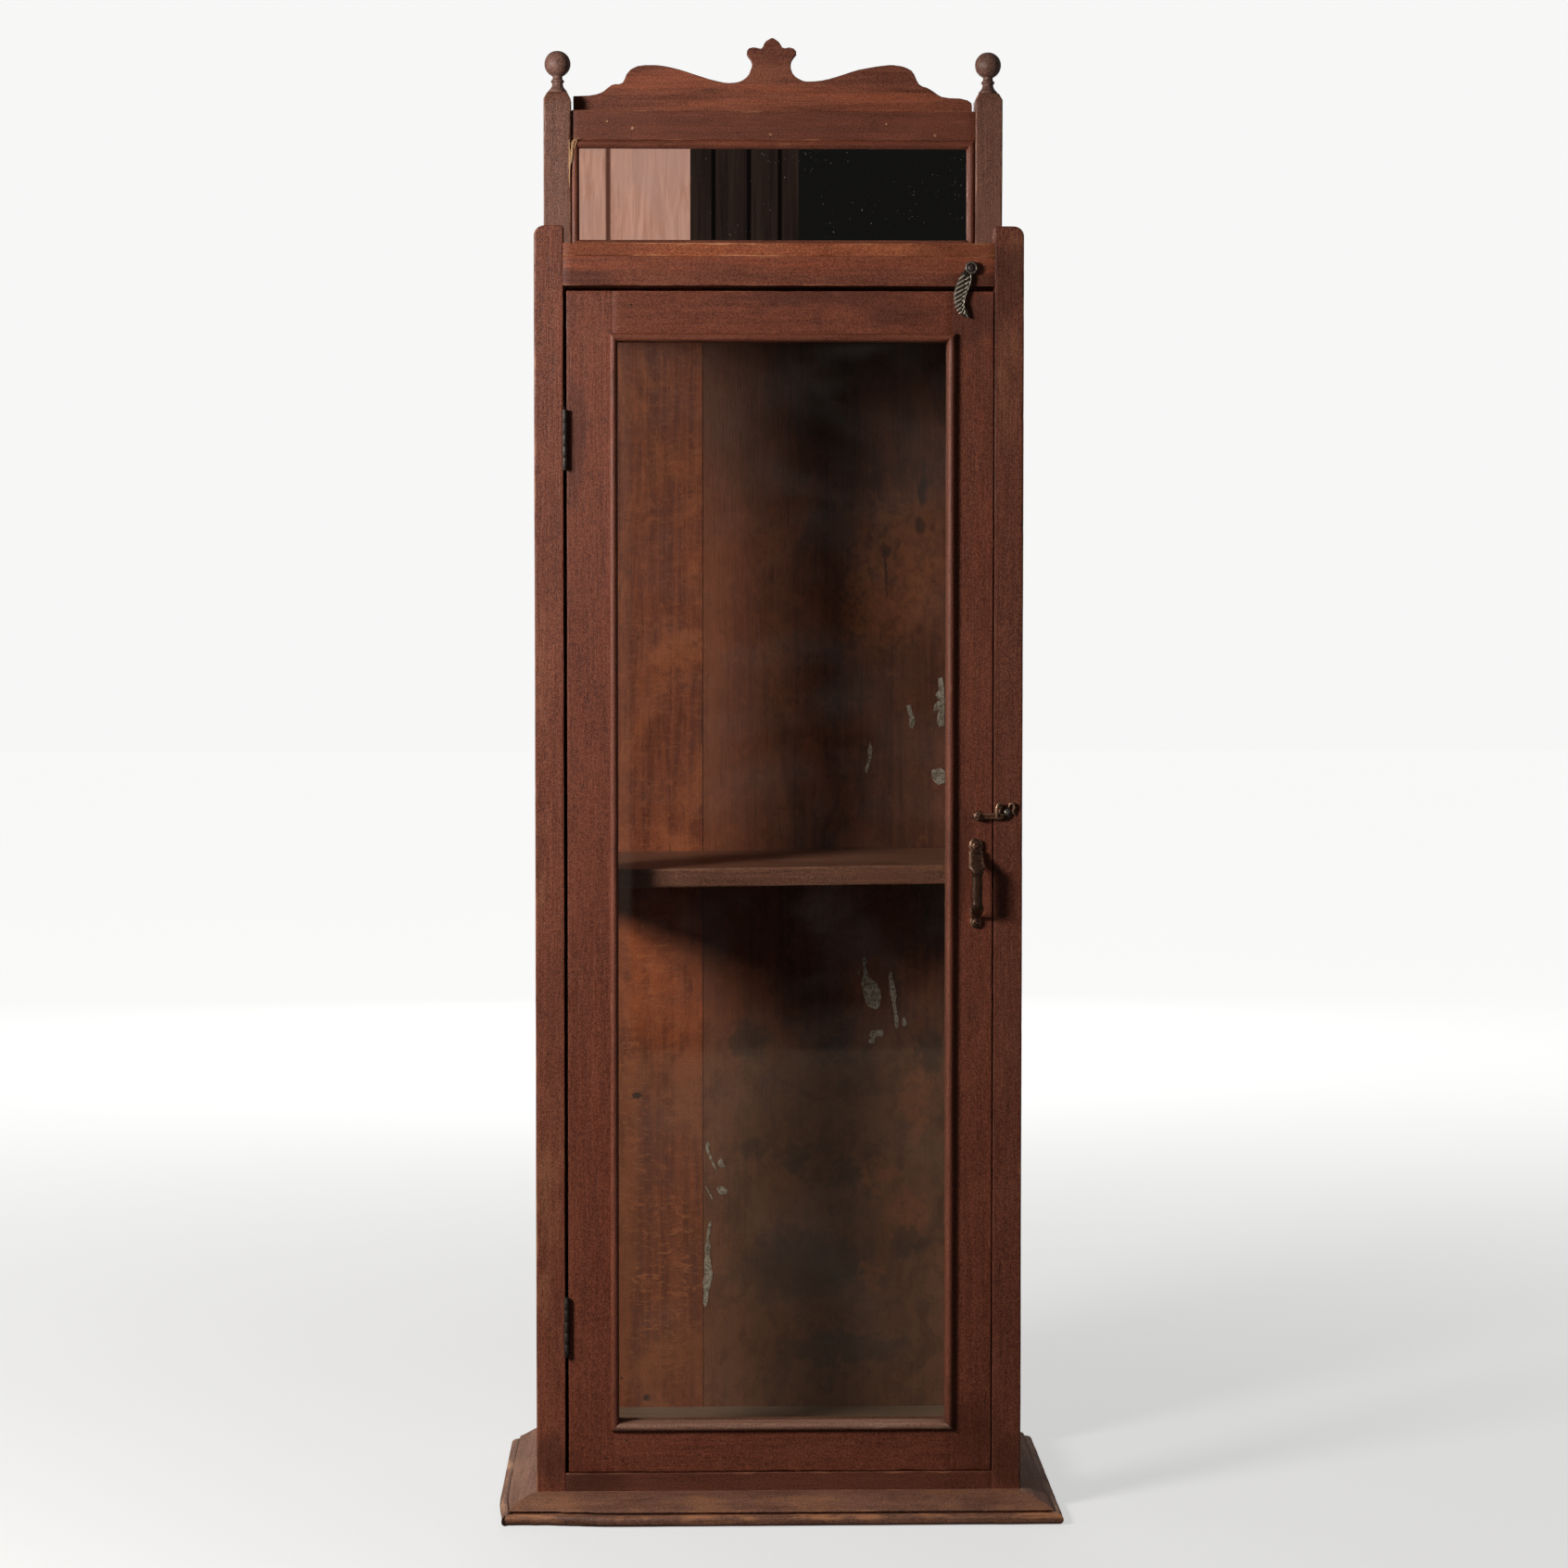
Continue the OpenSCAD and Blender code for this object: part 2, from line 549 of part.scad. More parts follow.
// The pull's two round-head screws and the latch bar's pivot screw.
module door_screws() color(iron) {
  for (z = [pull_top_z, pull_bot_z]) {
    rod_y(pull_x, z, -3, 12, 1.4);
    rod_y(pull_x, z, -4.6, -3, 3);
  }
  rod_y(latch_x, latch_z, -5.6, 12, 1.2);
  rod_y(latch_x, latch_z, -7.6, -5.2, 3.2);
}

// ---------------------------------------------------------------- latch
keeper_x = 198.2;
keeper_z = 613.8;
bar_y0 = -4.9; bar_y1 = -2.5;
module latch_bar() color(bronze) difference() {
  union() {
    rod_y(latch_x, latch_z, bar_y0, -0.4, 3.8);
    box(latch_x, 194.6, bar_y0, bar_y1, latch_z - 2.7, latch_z + 2.4);
  }
  rod_y(latch_x, latch_z, -9, 1, 1.25);
}
// The keeper on the post: a plate and a lipped hook that the bar drops into.
module latch_keeper() color(iron) difference() {
  union() {
    box(188, 206.5, -1.4, 0, 606.6, 617.6);
    rod_y(keeper_x + 4.6, 617.6, -1.4, 0, 3.6);
    box(188, 193.4, -7.2, 0, 606.6, 608.3);
    box(188, 193.4, -7.2, -5.4, 606.6, 620.5);
    rod_y(190.7, 620.5, -7.2, -5.4, 2.7);
  }
  rod_y(keeper_x, keeper_z, -4, 1, 1 + c);
}
module keeper_screw() color(iron) {
  rod_y(keeper_x, keeper_z, -2.9, 12, 1);
  rod_y(keeper_x, keeper_z, -3.4, -1.4, 2.9);
}

// ---------------------------------------------------------------- turn button
// A wing-shaped button that hangs from its screw over the top of the door.
wing_outline = [
  [165.5, 1079], [166.5, 1075], [165, 1068.5], [162.5, 1064], [160.2, 1058.5], [159.2, 1052.5],
  [159.6, 1047], [161.5, 1042.8], [163.2, 1040.6], [158.5, 1042.5], [155.6, 1044.6], [152.6, 1049],
  [150.4, 1054.5], [149.8, 1058.5], [150.4, 1064], [152.2, 1070], [155, 1075.8], [157, 1080], [160, 1082.5]];
module turn_button() color([0.55, 0.48, 0.38]) difference() {
  union() {
    rod_y(wing_x, wing_z, -4.4, -1, 5.6);
    translate([0, -1.2, 0]) rotate([90, 0, 0]) linear_extrude(3) polygon(wing_outline);
  }
  rod_y(wing_x, wing_z, -9, 1, 1.55);
}
module turn_button_screw() color(iron) {
  rod_y(wing_x, wing_z, -5, 15, 1.5);
  rod_y(wing_x, wing_z, -6.6, -4.7, 3.4);
}
module case_nails() color(iron) case_nails_shape(0);

// The modules draw with the case's face at Y = 0; this sets the object over its origin.
module place() { translate([0, -mid_y, 0]) children(); }

// ---------------------------------------------------------------- output
place() front_post_left();
place() front_post_right();
place() back_post_left();
place() back_post_right();
place() finial_left();
place() finial_right();
place() side_glass_left();
place() side_glass_right();
place() side_rail_top_left();
place() side_rail_top_right();
place() side_rail_bottom_left();
place() side_rail_bottom_right();
place() back_board_left();
place() back_board_right();
place() top_board();
place() top_front_rail();
place() bottom_front_rail();
place() bottom_board();
place() shelf();
place() shelf_cleat_left();
place() shelf_cleat_right();
place() base_moulding_front();
place() base_moulding_left();
place() base_moulding_right();
place() glue_blocks();
place() gallery_top_rail();
place() gallery_bottom_rail();
place() crest_board();
place() mirror_glass();
place() mirror_backing();
place() mirror_bead_top();
place() mirror_bead_bottom();
place() mirror_bead_left();
place() mirror_bead_right();
place() hinge_upper_case_leaf();
place() hinge_lower_case_leaf();
place() hinge_pins();
place() case_hinge_screws();
place() latch_keeper();
place() keeper_screw();
place() turn_button_screw();
place() crest_screws();
place() case_nails();
place() door_stile_left();
place() door_stile_right();
place() door_rail_top();
place() door_rail_bottom();
place() door_glass();
place() glass_bead_top();
place() glass_bead_bottom();
place() glass_bead_left();
place() glass_bead_right();
place() glass_fillets();
place() hinge_upper_door_leaf();
place() hinge_lower_door_leaf();
place() door_hinge_screws();
place() door_pull();
place() door_screws();
place() latch_bar();
place() turn_button();
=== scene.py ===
import math

import bpy
import bmesh
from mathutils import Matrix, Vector, noise


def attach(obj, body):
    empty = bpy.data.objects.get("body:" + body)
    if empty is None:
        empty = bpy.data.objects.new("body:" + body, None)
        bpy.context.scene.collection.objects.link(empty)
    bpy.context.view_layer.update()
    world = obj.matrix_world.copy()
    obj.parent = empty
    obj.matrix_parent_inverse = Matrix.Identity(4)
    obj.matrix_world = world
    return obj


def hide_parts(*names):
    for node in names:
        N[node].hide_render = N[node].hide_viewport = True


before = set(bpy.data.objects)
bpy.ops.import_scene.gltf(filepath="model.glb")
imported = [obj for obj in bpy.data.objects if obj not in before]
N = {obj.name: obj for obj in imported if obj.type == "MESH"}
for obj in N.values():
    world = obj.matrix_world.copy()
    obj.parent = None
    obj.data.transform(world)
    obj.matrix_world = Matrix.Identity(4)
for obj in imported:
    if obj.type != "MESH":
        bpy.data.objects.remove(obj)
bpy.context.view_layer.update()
scene = bpy.context.scene
MM = 0.001
FACE = -88.0  # mm, where the case's face stands in the row frame


def P(x, y, z):
    """Case millimetres (y runs back from the case's face) to row metres."""
    return (x * MM, (y + FACE) * MM, z * MM)


def nz(a, b=0.0, c=0.0):
    return noise.noise(Vector((a + 0.137, b + 0.411, c + 0.733)))


def sstep(a, b, x):
    t = max(0.0, min(1.0, (x - a) / (b - a)))
    return t * t * (3 - 2 * t)


# ------------------------------------------------------------------ node helper
class Tree:
    def __init__(self, name):
        self.mat = bpy.data.materials.new(name)
        self.mat.use_nodes = True
        self.t = self.mat.node_tree
        self.t.nodes.clear()
        self.out = self.t.nodes.new("ShaderNodeOutputMaterial")
        self.tc = self.t.nodes.new("ShaderNodeTexCoord")

    def node(self, kind, props=None, **ins):
        n = self.t.nodes.new(kind)
        for k, v in (props or {}).items():
            setattr(n, k, v)
        for k, v in ins.items():
            self.put(n.inputs[k.replace("_", " ")], v)
        return n

    def put(self, sock, v):
        if isinstance(v, bpy.types.NodeSocket):
            self.t.links.new(v, sock)
        elif isinstance(v, (tuple, list)) and len(v) == 3 and sock.type == "RGBA":
            sock.default_value = (*v, 1.0)
        else:
            sock.default_value = v

    def math(self, op, a, b=0.0, c=0.0, clamp=False):
        n = self.t.nodes.new("ShaderNodeMath")
        n.operation = op
        n.use_clamp = clamp
        for i, v in enumerate((a, b, c)):
            self.put(n.inputs[i], v)
        return n.outputs[0]

    def mapping(self, scale, loc=(0, 0, 0), rot=(0, 0, 0), src=None):
        n = self.t.nodes.new("ShaderNodeMapping")
        self.t.links.new(src or self.tc.outputs["Object"], n.inputs["Vector"])
        n.inputs["Scale"].default_value = scale
        n.inputs["Location"].default_value = loc
        n.inputs["Rotation"].default_value = rot
        return n.outputs[0]

    def noise(self, vec, scale=1.0, detail=3.0, rough=0.55, dist=0.0):
        n = self.t.nodes.new("ShaderNodeTexNoise")
        self.t.links.new(vec, n.inputs["Vector"])
        n.inputs["Scale"].default_value = scale
        n.inputs["Detail"].default_value = detail
        n.inputs["Roughness"].default_value = rough
        n.inputs["Distortion"].default_value = dist
        return n.outputs["Fac"]

    def ramp(self, fac, a, b, lo=0.0, hi=1.0):
        n = self.t.nodes.new("ShaderNodeMapRange")
        n.interpolation_type = "SMOOTHSTEP"
        self.put(n.inputs["Value"], fac)
        n.inputs["From Min"].default_value = a
        n.inputs["From Max"].default_value = b
        n.inputs["To Min"].default_value = lo
        n.inputs["To Max"].default_value = hi
        return n.outputs["Result"]

    def mix(self, fac, a, b, blend="MIX"):
        n = self.t.nodes.new("ShaderNodeMix")
        n.data_type = "RGBA"
        n.blend_type = blend
        self.put(n.inputs[0], fac)
        self.put(n.inputs[6], a)
        self.put(n.inputs[7], b)
        return n.outputs[2]

    def attr(self, name):
        n = self.t.nodes.new("ShaderNodeAttribute")
        n.attribute_name = name
        return n.outputs["Fac"]

    def xyz(self):
        n = self.t.nodes.new("ShaderNodeSeparateXYZ")
        self.t.links.new(self.tc.outputs["Object"], n.inputs[0])
        return n.outputs

    def bump(self, height, strength, dist, normal=None):
        n = self.t.nodes.new("ShaderNodeBump")
        n.inputs["Strength"].default_value = strength
        n.inputs["Distance"].default_value = dist
        self.put(n.inputs["Height"], height)
        if normal is not None:
            self.put(n.inputs["Normal"], normal)
        return n.outputs[0]

    def principled(self, color, rough, normal=None, **fixed):
        n = self.t.nodes.new("ShaderNodeBsdfPrincipled")
        self.put(n.inputs["Base Color"], color)
        self.put(n.inputs["Roughness"], rough)
        if normal is not None:
            self.put(n.inputs["Normal"], normal)
        for k, v in fixed.items():
            self.put(n.inputs[k.replace("_", " ")], v)
        return n

    def done(self, shader):
        self.t.links.new(shader, self.out.inputs["Surface"])
        return self.mat


# ------------------------------------------------------------------ wood
def spots(w, pts, soft=1.8, warp=0.006, plane="xz", size=1.0, scale=(70, 70, 70)):
    """A mask that is 1 on each of the given patches: (x, z, half width, half height) in metres."""
    c = dict(zip("xyz", w.xyz()))
    n1 = w.noise(w.mapping(scale), 1, 4, 0.6)
    n2 = w.noise(w.mapping(scale, (5, 5, 5)), 1, 4, 0.6)
    a_ = w.math("ADD", c[plane[0]], w.math("MULTIPLY", w.math("SUBTRACT", n1, 0.5), warp * 4))
    b_ = w.math("ADD", c[plane[1]], w.math("MULTIPLY", w.math("SUBTRACT", n2, 0.5), warp * 4))
    total = None
    for (px, pz, rx, rz) in pts:
        a = w.math("DIVIDE", w.math("SUBTRACT", a_, px), rx * size)
        b = w.math("DIVIDE", w.math("SUBTRACT", b_, pz), rz * size)
        d = w.math("ADD", w.math("MULTIPLY", a, a), w.math("MULTIPLY", b, b))
        m = w.ramp(d, 0.35, soft, 1.0, 0.0)
        total = m if total is None else w.math("MAXIMUM", total, m)
    return total


def wood(name, axis, dark, mid, light, worn, wear=1.0, broad=0.5, pore=0.5, rough=(0.40, 0.60),
         bump=1.0, dirt=1.0, off=0.0, streak=1.0, stains=(), rubs_and_highlights=(), painted_highlights=(), dim=None, spec=0.42):
    """Stained, handled old wood, with optional painted highlights and painted shade. axis is the way of the grain."""
    w = Tree(name)
    ai = "XYZ".index(axis)

    def sc(across, along):
        s = [across] * 3
        s[ai] = along
        return tuple(s)

    g1 = w.noise(w.mapping(sc(210, 8), (off, off * 0.7, off * 0.3)), 1, 6, 0.64, 0.6)
    g2 = w.noise(w.mapping(sc(640, 30), (off * 2, 3.1, off)), 1, 5, 0.66, 0.3)
    g3 = w.noise(w.mapping(sc(1700, 120), (1.7, off, 4.2)), 1, 2, 0.5, 0.0)
    b1 = w.noise(w.mapping(sc(15, 6), (off, 5.2, 1.3)), 1, 5, 0.62, 0.4)
    b2 = w.noise(w.mapping(sc(52, 24), (2.4, off, 7.9)), 1, 5, 0.66, 0.3)
    sp = w.noise(w.mapping((520, 520, 520)), 1, 4, 0.78)
    fl = w.noise(w.mapping((1050, 1050, 1050), (7, 1, 3)), 1, 2, 0.6)
    col = w.mix(w.ramp(g1, 0.34, 0.66), dark, mid)
    col = w.mix(w.math("MULTIPLY", w.ramp(b1, 0.46, 0.66), broad), col, light)
    col = w.mix(w.math("MULTIPLY", w.ramp(g2, 0.52, 0.72), 0.40 * streak), col, light)
    col = w.mix(w.math("MULTIPLY", w.ramp(g2, 0.48, 0.30), 0.42 * streak), col, tuple(c * 0.55 for c in dark))
    # painted highlights: brighter, more orange streaks of grain on the given patches
    if painted_highlights:
        col = w.mix(w.math("MULTIPLY", spots(w, painted_highlights, 5.0, 0.007, scale=sc(90, 14)), w.ramp(g1, 0.32, 0.66, 0.12, 0.60)), col, (light[0] * 1.45, light[1] * 1.15, light[2] * 0.9))
    # worn-through flecks, knocks and dark handling stains
    rub = w.math("MULTIPLY", w.ramp(b2, 0.60, 0.76), w.ramp(g2, 0.42, 0.62))
    col = w.mix(w.math("MULTIPLY", rub, 0.50 * wear, clamp=True), col, worn)
    col = w.mix(w.math("MULTIPLY", w.ramp(b2, 0.43, 0.27), 0.50 * dirt), col, tuple(c * 0.42 for c in dark))
    # rubbed, worn patches; on the base moulding the first of them is a painted highlight strip along the bead
    if rubs_and_highlights:
        col = w.mix(w.math("MULTIPLY", spots(w, rubs_and_highlights, 4.0, 0.010, scale=sc(90, 20)), w.ramp(b2, 0.36, 0.66, 0.05, 0.62)), col, worn)
    col = w.mix(w.math("MULTIPLY", w.ramp(g3, 0.54, 0.72), 0.55 * pore), col, tuple(c * 0.40 for c in dark))
    col = w.mix(w.math("MULTIPLY", w.ramp(sp, 0.62, 0.72), 0.38 * wear, clamp=True), col, worn)
    col = w.mix(w.math("MULTIPLY", w.ramp(sp, 0.40, 0.30), 0.60), col, tuple(c * 0.35 for c in dark))
    col = w.mix(w.ramp(fl, 0.34, 0.66, 0.0, 0.46), col, (0, 0, 0))
    col = w.mix(w.ramp(fl, 0.55, 0.40, 0.0, 0.26), col, worn)
    if stains:
        col = w.mix(w.math("MULTIPLY", spots(w, stains, 5.0, 0.006, scale=sc(90, 24)), 0.45), col, tuple(c * 0.30 for c in dark))
    # rubbed arrises
    ed = w.attr("edge")
    e = w.math("ADD", ed, w.math("MULTIPLY", w.math("SUBTRACT", b2, 0.5), 1.9))
    e = w.math("ADD", e, w.math("MULTIPLY", w.math("SUBTRACT", g2, 0.5), 1.0))
    e = w.math("MULTIPLY", w.ramp(e, 0.80, 1.25), w.math("MULTIPLY", w.ramp(ed, 0.05, 0.4), 0.75 * wear), clamp=True)
    col = w.mix(e, col, worn)
    # painted shade: darkens the colour towards black along one coordinate
    if dim:
        c = w.xyz()["xyz".index(dim[0])]
        k = w.ramp(c, dim[1], dim[2], 0.0, dim[3])
        col = w.mix(k, col, (0.0, 0.0, 0.0))
    r = w.math("ADD", w.ramp(g2, 0.3, 0.7, *rough), w.math("MULTIPLY", w.ramp(b1, 0.4, 0.7), 0.08))
    h = w.math("ADD", w.math("MULTIPLY", g2, 0.60), w.math("MULTIPLY", g3, 0.35))
    h = w.math("ADD", h, w.math("MULTIPLY", g1, 0.45))
    h = w.math("ADD", h, w.math("MULTIPLY", sp, 0.45))
    nrm = w.bump(h, 0.6 * bump, 0.0008)
    p = w.principled(col, r, nrm, Specular_IOR_Level=spec)
    return w.done(p.outputs[0])


RED_D, RED_M, RED_L, RED_W = (0.158, 0.035, 0.0165), (0.240, 0.055, 0.0275), (0.310, 0.080, 0.037), (0.40, 0.150, 0.072)
Z_STAINS = ((0.199, 1.086, 0.014, 0.010), (0.196, 1.062, 0.006, 0.012), (0.170, 1.043, 0.014, 0.010), (0.156, 1.030, 0.010, 0.008), (0.158, 0.575, 0.006, 0.030),
            (-0.199, 0.050, 0.012, 0.012), (0.199, 0.045, 0.012, 0.014), (-0.176, 0.940, 0.006, 0.03), (0.168, 0.07, 0.014, 0.02))
X_STAINS = ((0.175, 1.072, 0.020, 0.006), (-0.17, 1.073, 0.016, 0.006), (0.0, 0.003, 0.19, 0.006), (-0.165, 0.030, 0.020, 0.008), (0.03, 1.058, 0.05, 0.004))
# painted highlight streaks on the rails of red wood
X_PAINTED_HIGHLIGHTS = ((-0.13, 1.088, 0.05, 0.006), (0.06, 1.089, 0.08, 0.005), (0.155, 1.087, 0.03, 0.006), (-0.02, 1.231, 0.07, 0.008), (-0.12, 1.236, 0.03, 0.006))
wood_z = wood("wood_red_z", "Z", RED_D, RED_M, RED_L, RED_W, off=0.0, stains=Z_STAINS, rubs_and_highlights=((-0.199, 0.30, 0.010, 0.05), (0.200, 0.985, 0.008, 0.03), (0.204, 1.10, 0.004, 0.012), (-0.206, 0.72, 0.003, 0.05)))
DOOR_D, DOOR_M, DOOR_L = (0.158, 0.0315, 0.0135), (0.240, 0.050, 0.0225), (0.305, 0.070, 0.031)
wood_dz = wood("wood_door_z", "Z", DOOR_D, DOOR_M, DOOR_L, RED_W, off=1.0, wear=0.9, stains=Z_STAINS)
wood_dx = wood("wood_door_x", "X", DOOR_D, DOOR_M, DOOR_L, RED_W, off=2.0, wear=0.9, stains=((0.03, 1.058, 0.05, 0.004), (0.10, 1.045, 0.02, 0.006)))
wood_x = wood("wood_red_x", "X", RED_D, RED_M, RED_L, RED_W, off=3.0, stains=X_STAINS, painted_highlights=X_PAINTED_HIGHLIGHTS)
wood_low = wood("wood_low_rail", "X", tuple(c * 0.70 for c in RED_D), tuple(c * 0.68 for c in RED_M), tuple(c * 0.68 for c in RED_L), RED_W, off=4.0, stains=X_STAINS)
# painted light and shade: a lighter copy of the red wood for the left post, nearer the lamp, and a darker copy for the
# right post
wood_z_painted_lit = wood("wood_red_painted_lit_left", "Z", tuple(c * 1.08 for c in RED_D), tuple(c * 1.10 for c in RED_M), tuple(c * 1.12 for c in RED_L), RED_W, off=0.0, wear=1.2, stains=Z_STAINS,
               rubs_and_highlights=((-0.199, 0.30, 0.010, 0.05), (-0.206, 0.72, 0.003, 0.05), (-0.207, 0.58, 0.003, 0.04), (-0.204, 0.20, 0.004, 0.02)))
wood_z_painted_shade = wood("wood_red_painted_shade_right", "Z", tuple(c * 0.90 for c in RED_D), tuple(c * 0.88 for c in RED_M), tuple(c * 0.88 for c in RED_L), RED_W, off=0.6, wear=1.1, stains=Z_STAINS,
               rubs_and_highlights=((0.200, 0.985, 0.008, 0.03), (0.204, 1.10, 0.004, 0.012)))
wood_gx = wood("wood_gallery_rail", "X", tuple(c * 0.88 for c in RED_D), tuple(c * 0.86 for c in RED_M), tuple(c * 0.88 for c in RED_L), RED_W, off=3.4, wear=1.1)
wood_y = wood("wood_red_y", "Y", RED_D, RED_M, RED_L, RED_W, off=5.0)
wood_gal = wood("wood_gallery_post", "Z", (0.17, 0.060, 0.036), (0.26, 0.098, 0.062), (0.34, 0.135, 0.085), (0.46, 0.23, 0.14), wear=1.3, off=8.0)
wood_ry = wood("wood_turned", "Z", (0.19, 0.085, 0.062), (0.27, 0.125, 0.092), (0.34, 0.165, 0.12), (0.46, 0.26, 0.19), wear=1.3, off=9.0, rough=(0.34, 0.52))
wood_top = wood("wood_worn_x", "X", (0.33, 0.068, 0.023), (0.48, 0.106, 0.036), (0.60, 0.165, 0.058), (0.64, 0.27, 0.12), wear=1.5, off=11.0, stains=((0.16, 1.1, 0.03, 0.006), (-0.16, 1.1, 0.03, 0.004)))
# the first entry is a painted highlight strip along the moulding's bead; the rest are rubbed, worn patches
BASE_RUBS_AND_BEAD_HIGHLIGHT = ((0.0, 0.0075, 0.26, 0.0022), (-0.205, 0.014, 0.022, 0.010), (-0.065, 0.012, 0.016, 0.006), (0.02, 0.013, 0.03, 0.005), (0.19, 0.015, 0.05, 0.009), (-0.12, 0.012, 0.03, 0.004))
wood_base_x = wood("wood_base_x", "X", (0.145, 0.060, 0.040), (0.225, 0.098, 0.066), (0.30, 0.135, 0.090), (0.44, 0.185, 0.085), wear=1.6, broad=0.7, off=13.0, rubs_and_highlights=BASE_RUBS_AND_BEAD_HIGHLIGHT)
wood_base_y = wood("wood_base_y", "Y", (0.23, 0.112, 0.076), (0.36, 0.185, 0.130), (0.46, 0.245, 0.17), (0.54, 0.30, 0.18), wear=1.6, broad=0.7, off=14.0, rough=(0.66, 0.84), spec=0.15)
wood_bead = wood("wood_dusty_bead", "X", (0.24, 0.100, 0.060), (0.36, 0.165, 0.105), (0.46, 0.24, 0.16), (0.55, 0.34, 0.24), wear=1.4, broad=0.7, off=16.0)
wood_in_x = wood("wood_inside_x", "X", (0.18, 0.066, 0.036), (0.31, 0.112, 0.058), (0.42, 0.17, 0.09), (0.38, 0.20, 0.12), wear=0.8, off=17.0)
wood_floor = wood("wood_floor_board", "X", (0.21, 0.130, 0.080), (0.31, 0.20, 0.125), (0.40, 0.27, 0.175), (0.46, 0.33, 0.23), wear=0.8, off=18.0)
wood_in_z = wood("wood_inside_z", "Z", (0.145, 0.056, 0.032), (0.24, 0.094, 0.052), (0.32, 0.14, 0.078), (0.38, 0.20, 0.12), wear=0.8, off=19.0)
# painted shade: near-black wood for strips that stand in for the shade in gaps
wood_gap_shadow = wood("wood_painted_gap_shadow", "Z", (0.03, 0.014, 0.009), (0.05, 0.022, 0.014), (0.07, 0.03, 0.018), (0.10, 0.05, 0.03), wear=0.3, off=21.0)
wood_raw = wood("wood_raw", "Z", (0.40, 0.18, 0.07), (0.60, 0.30, 0.13), (0.72, 0.42, 0.20), (0.80, 0.55, 0.32), wear=0.6, off=23.0)


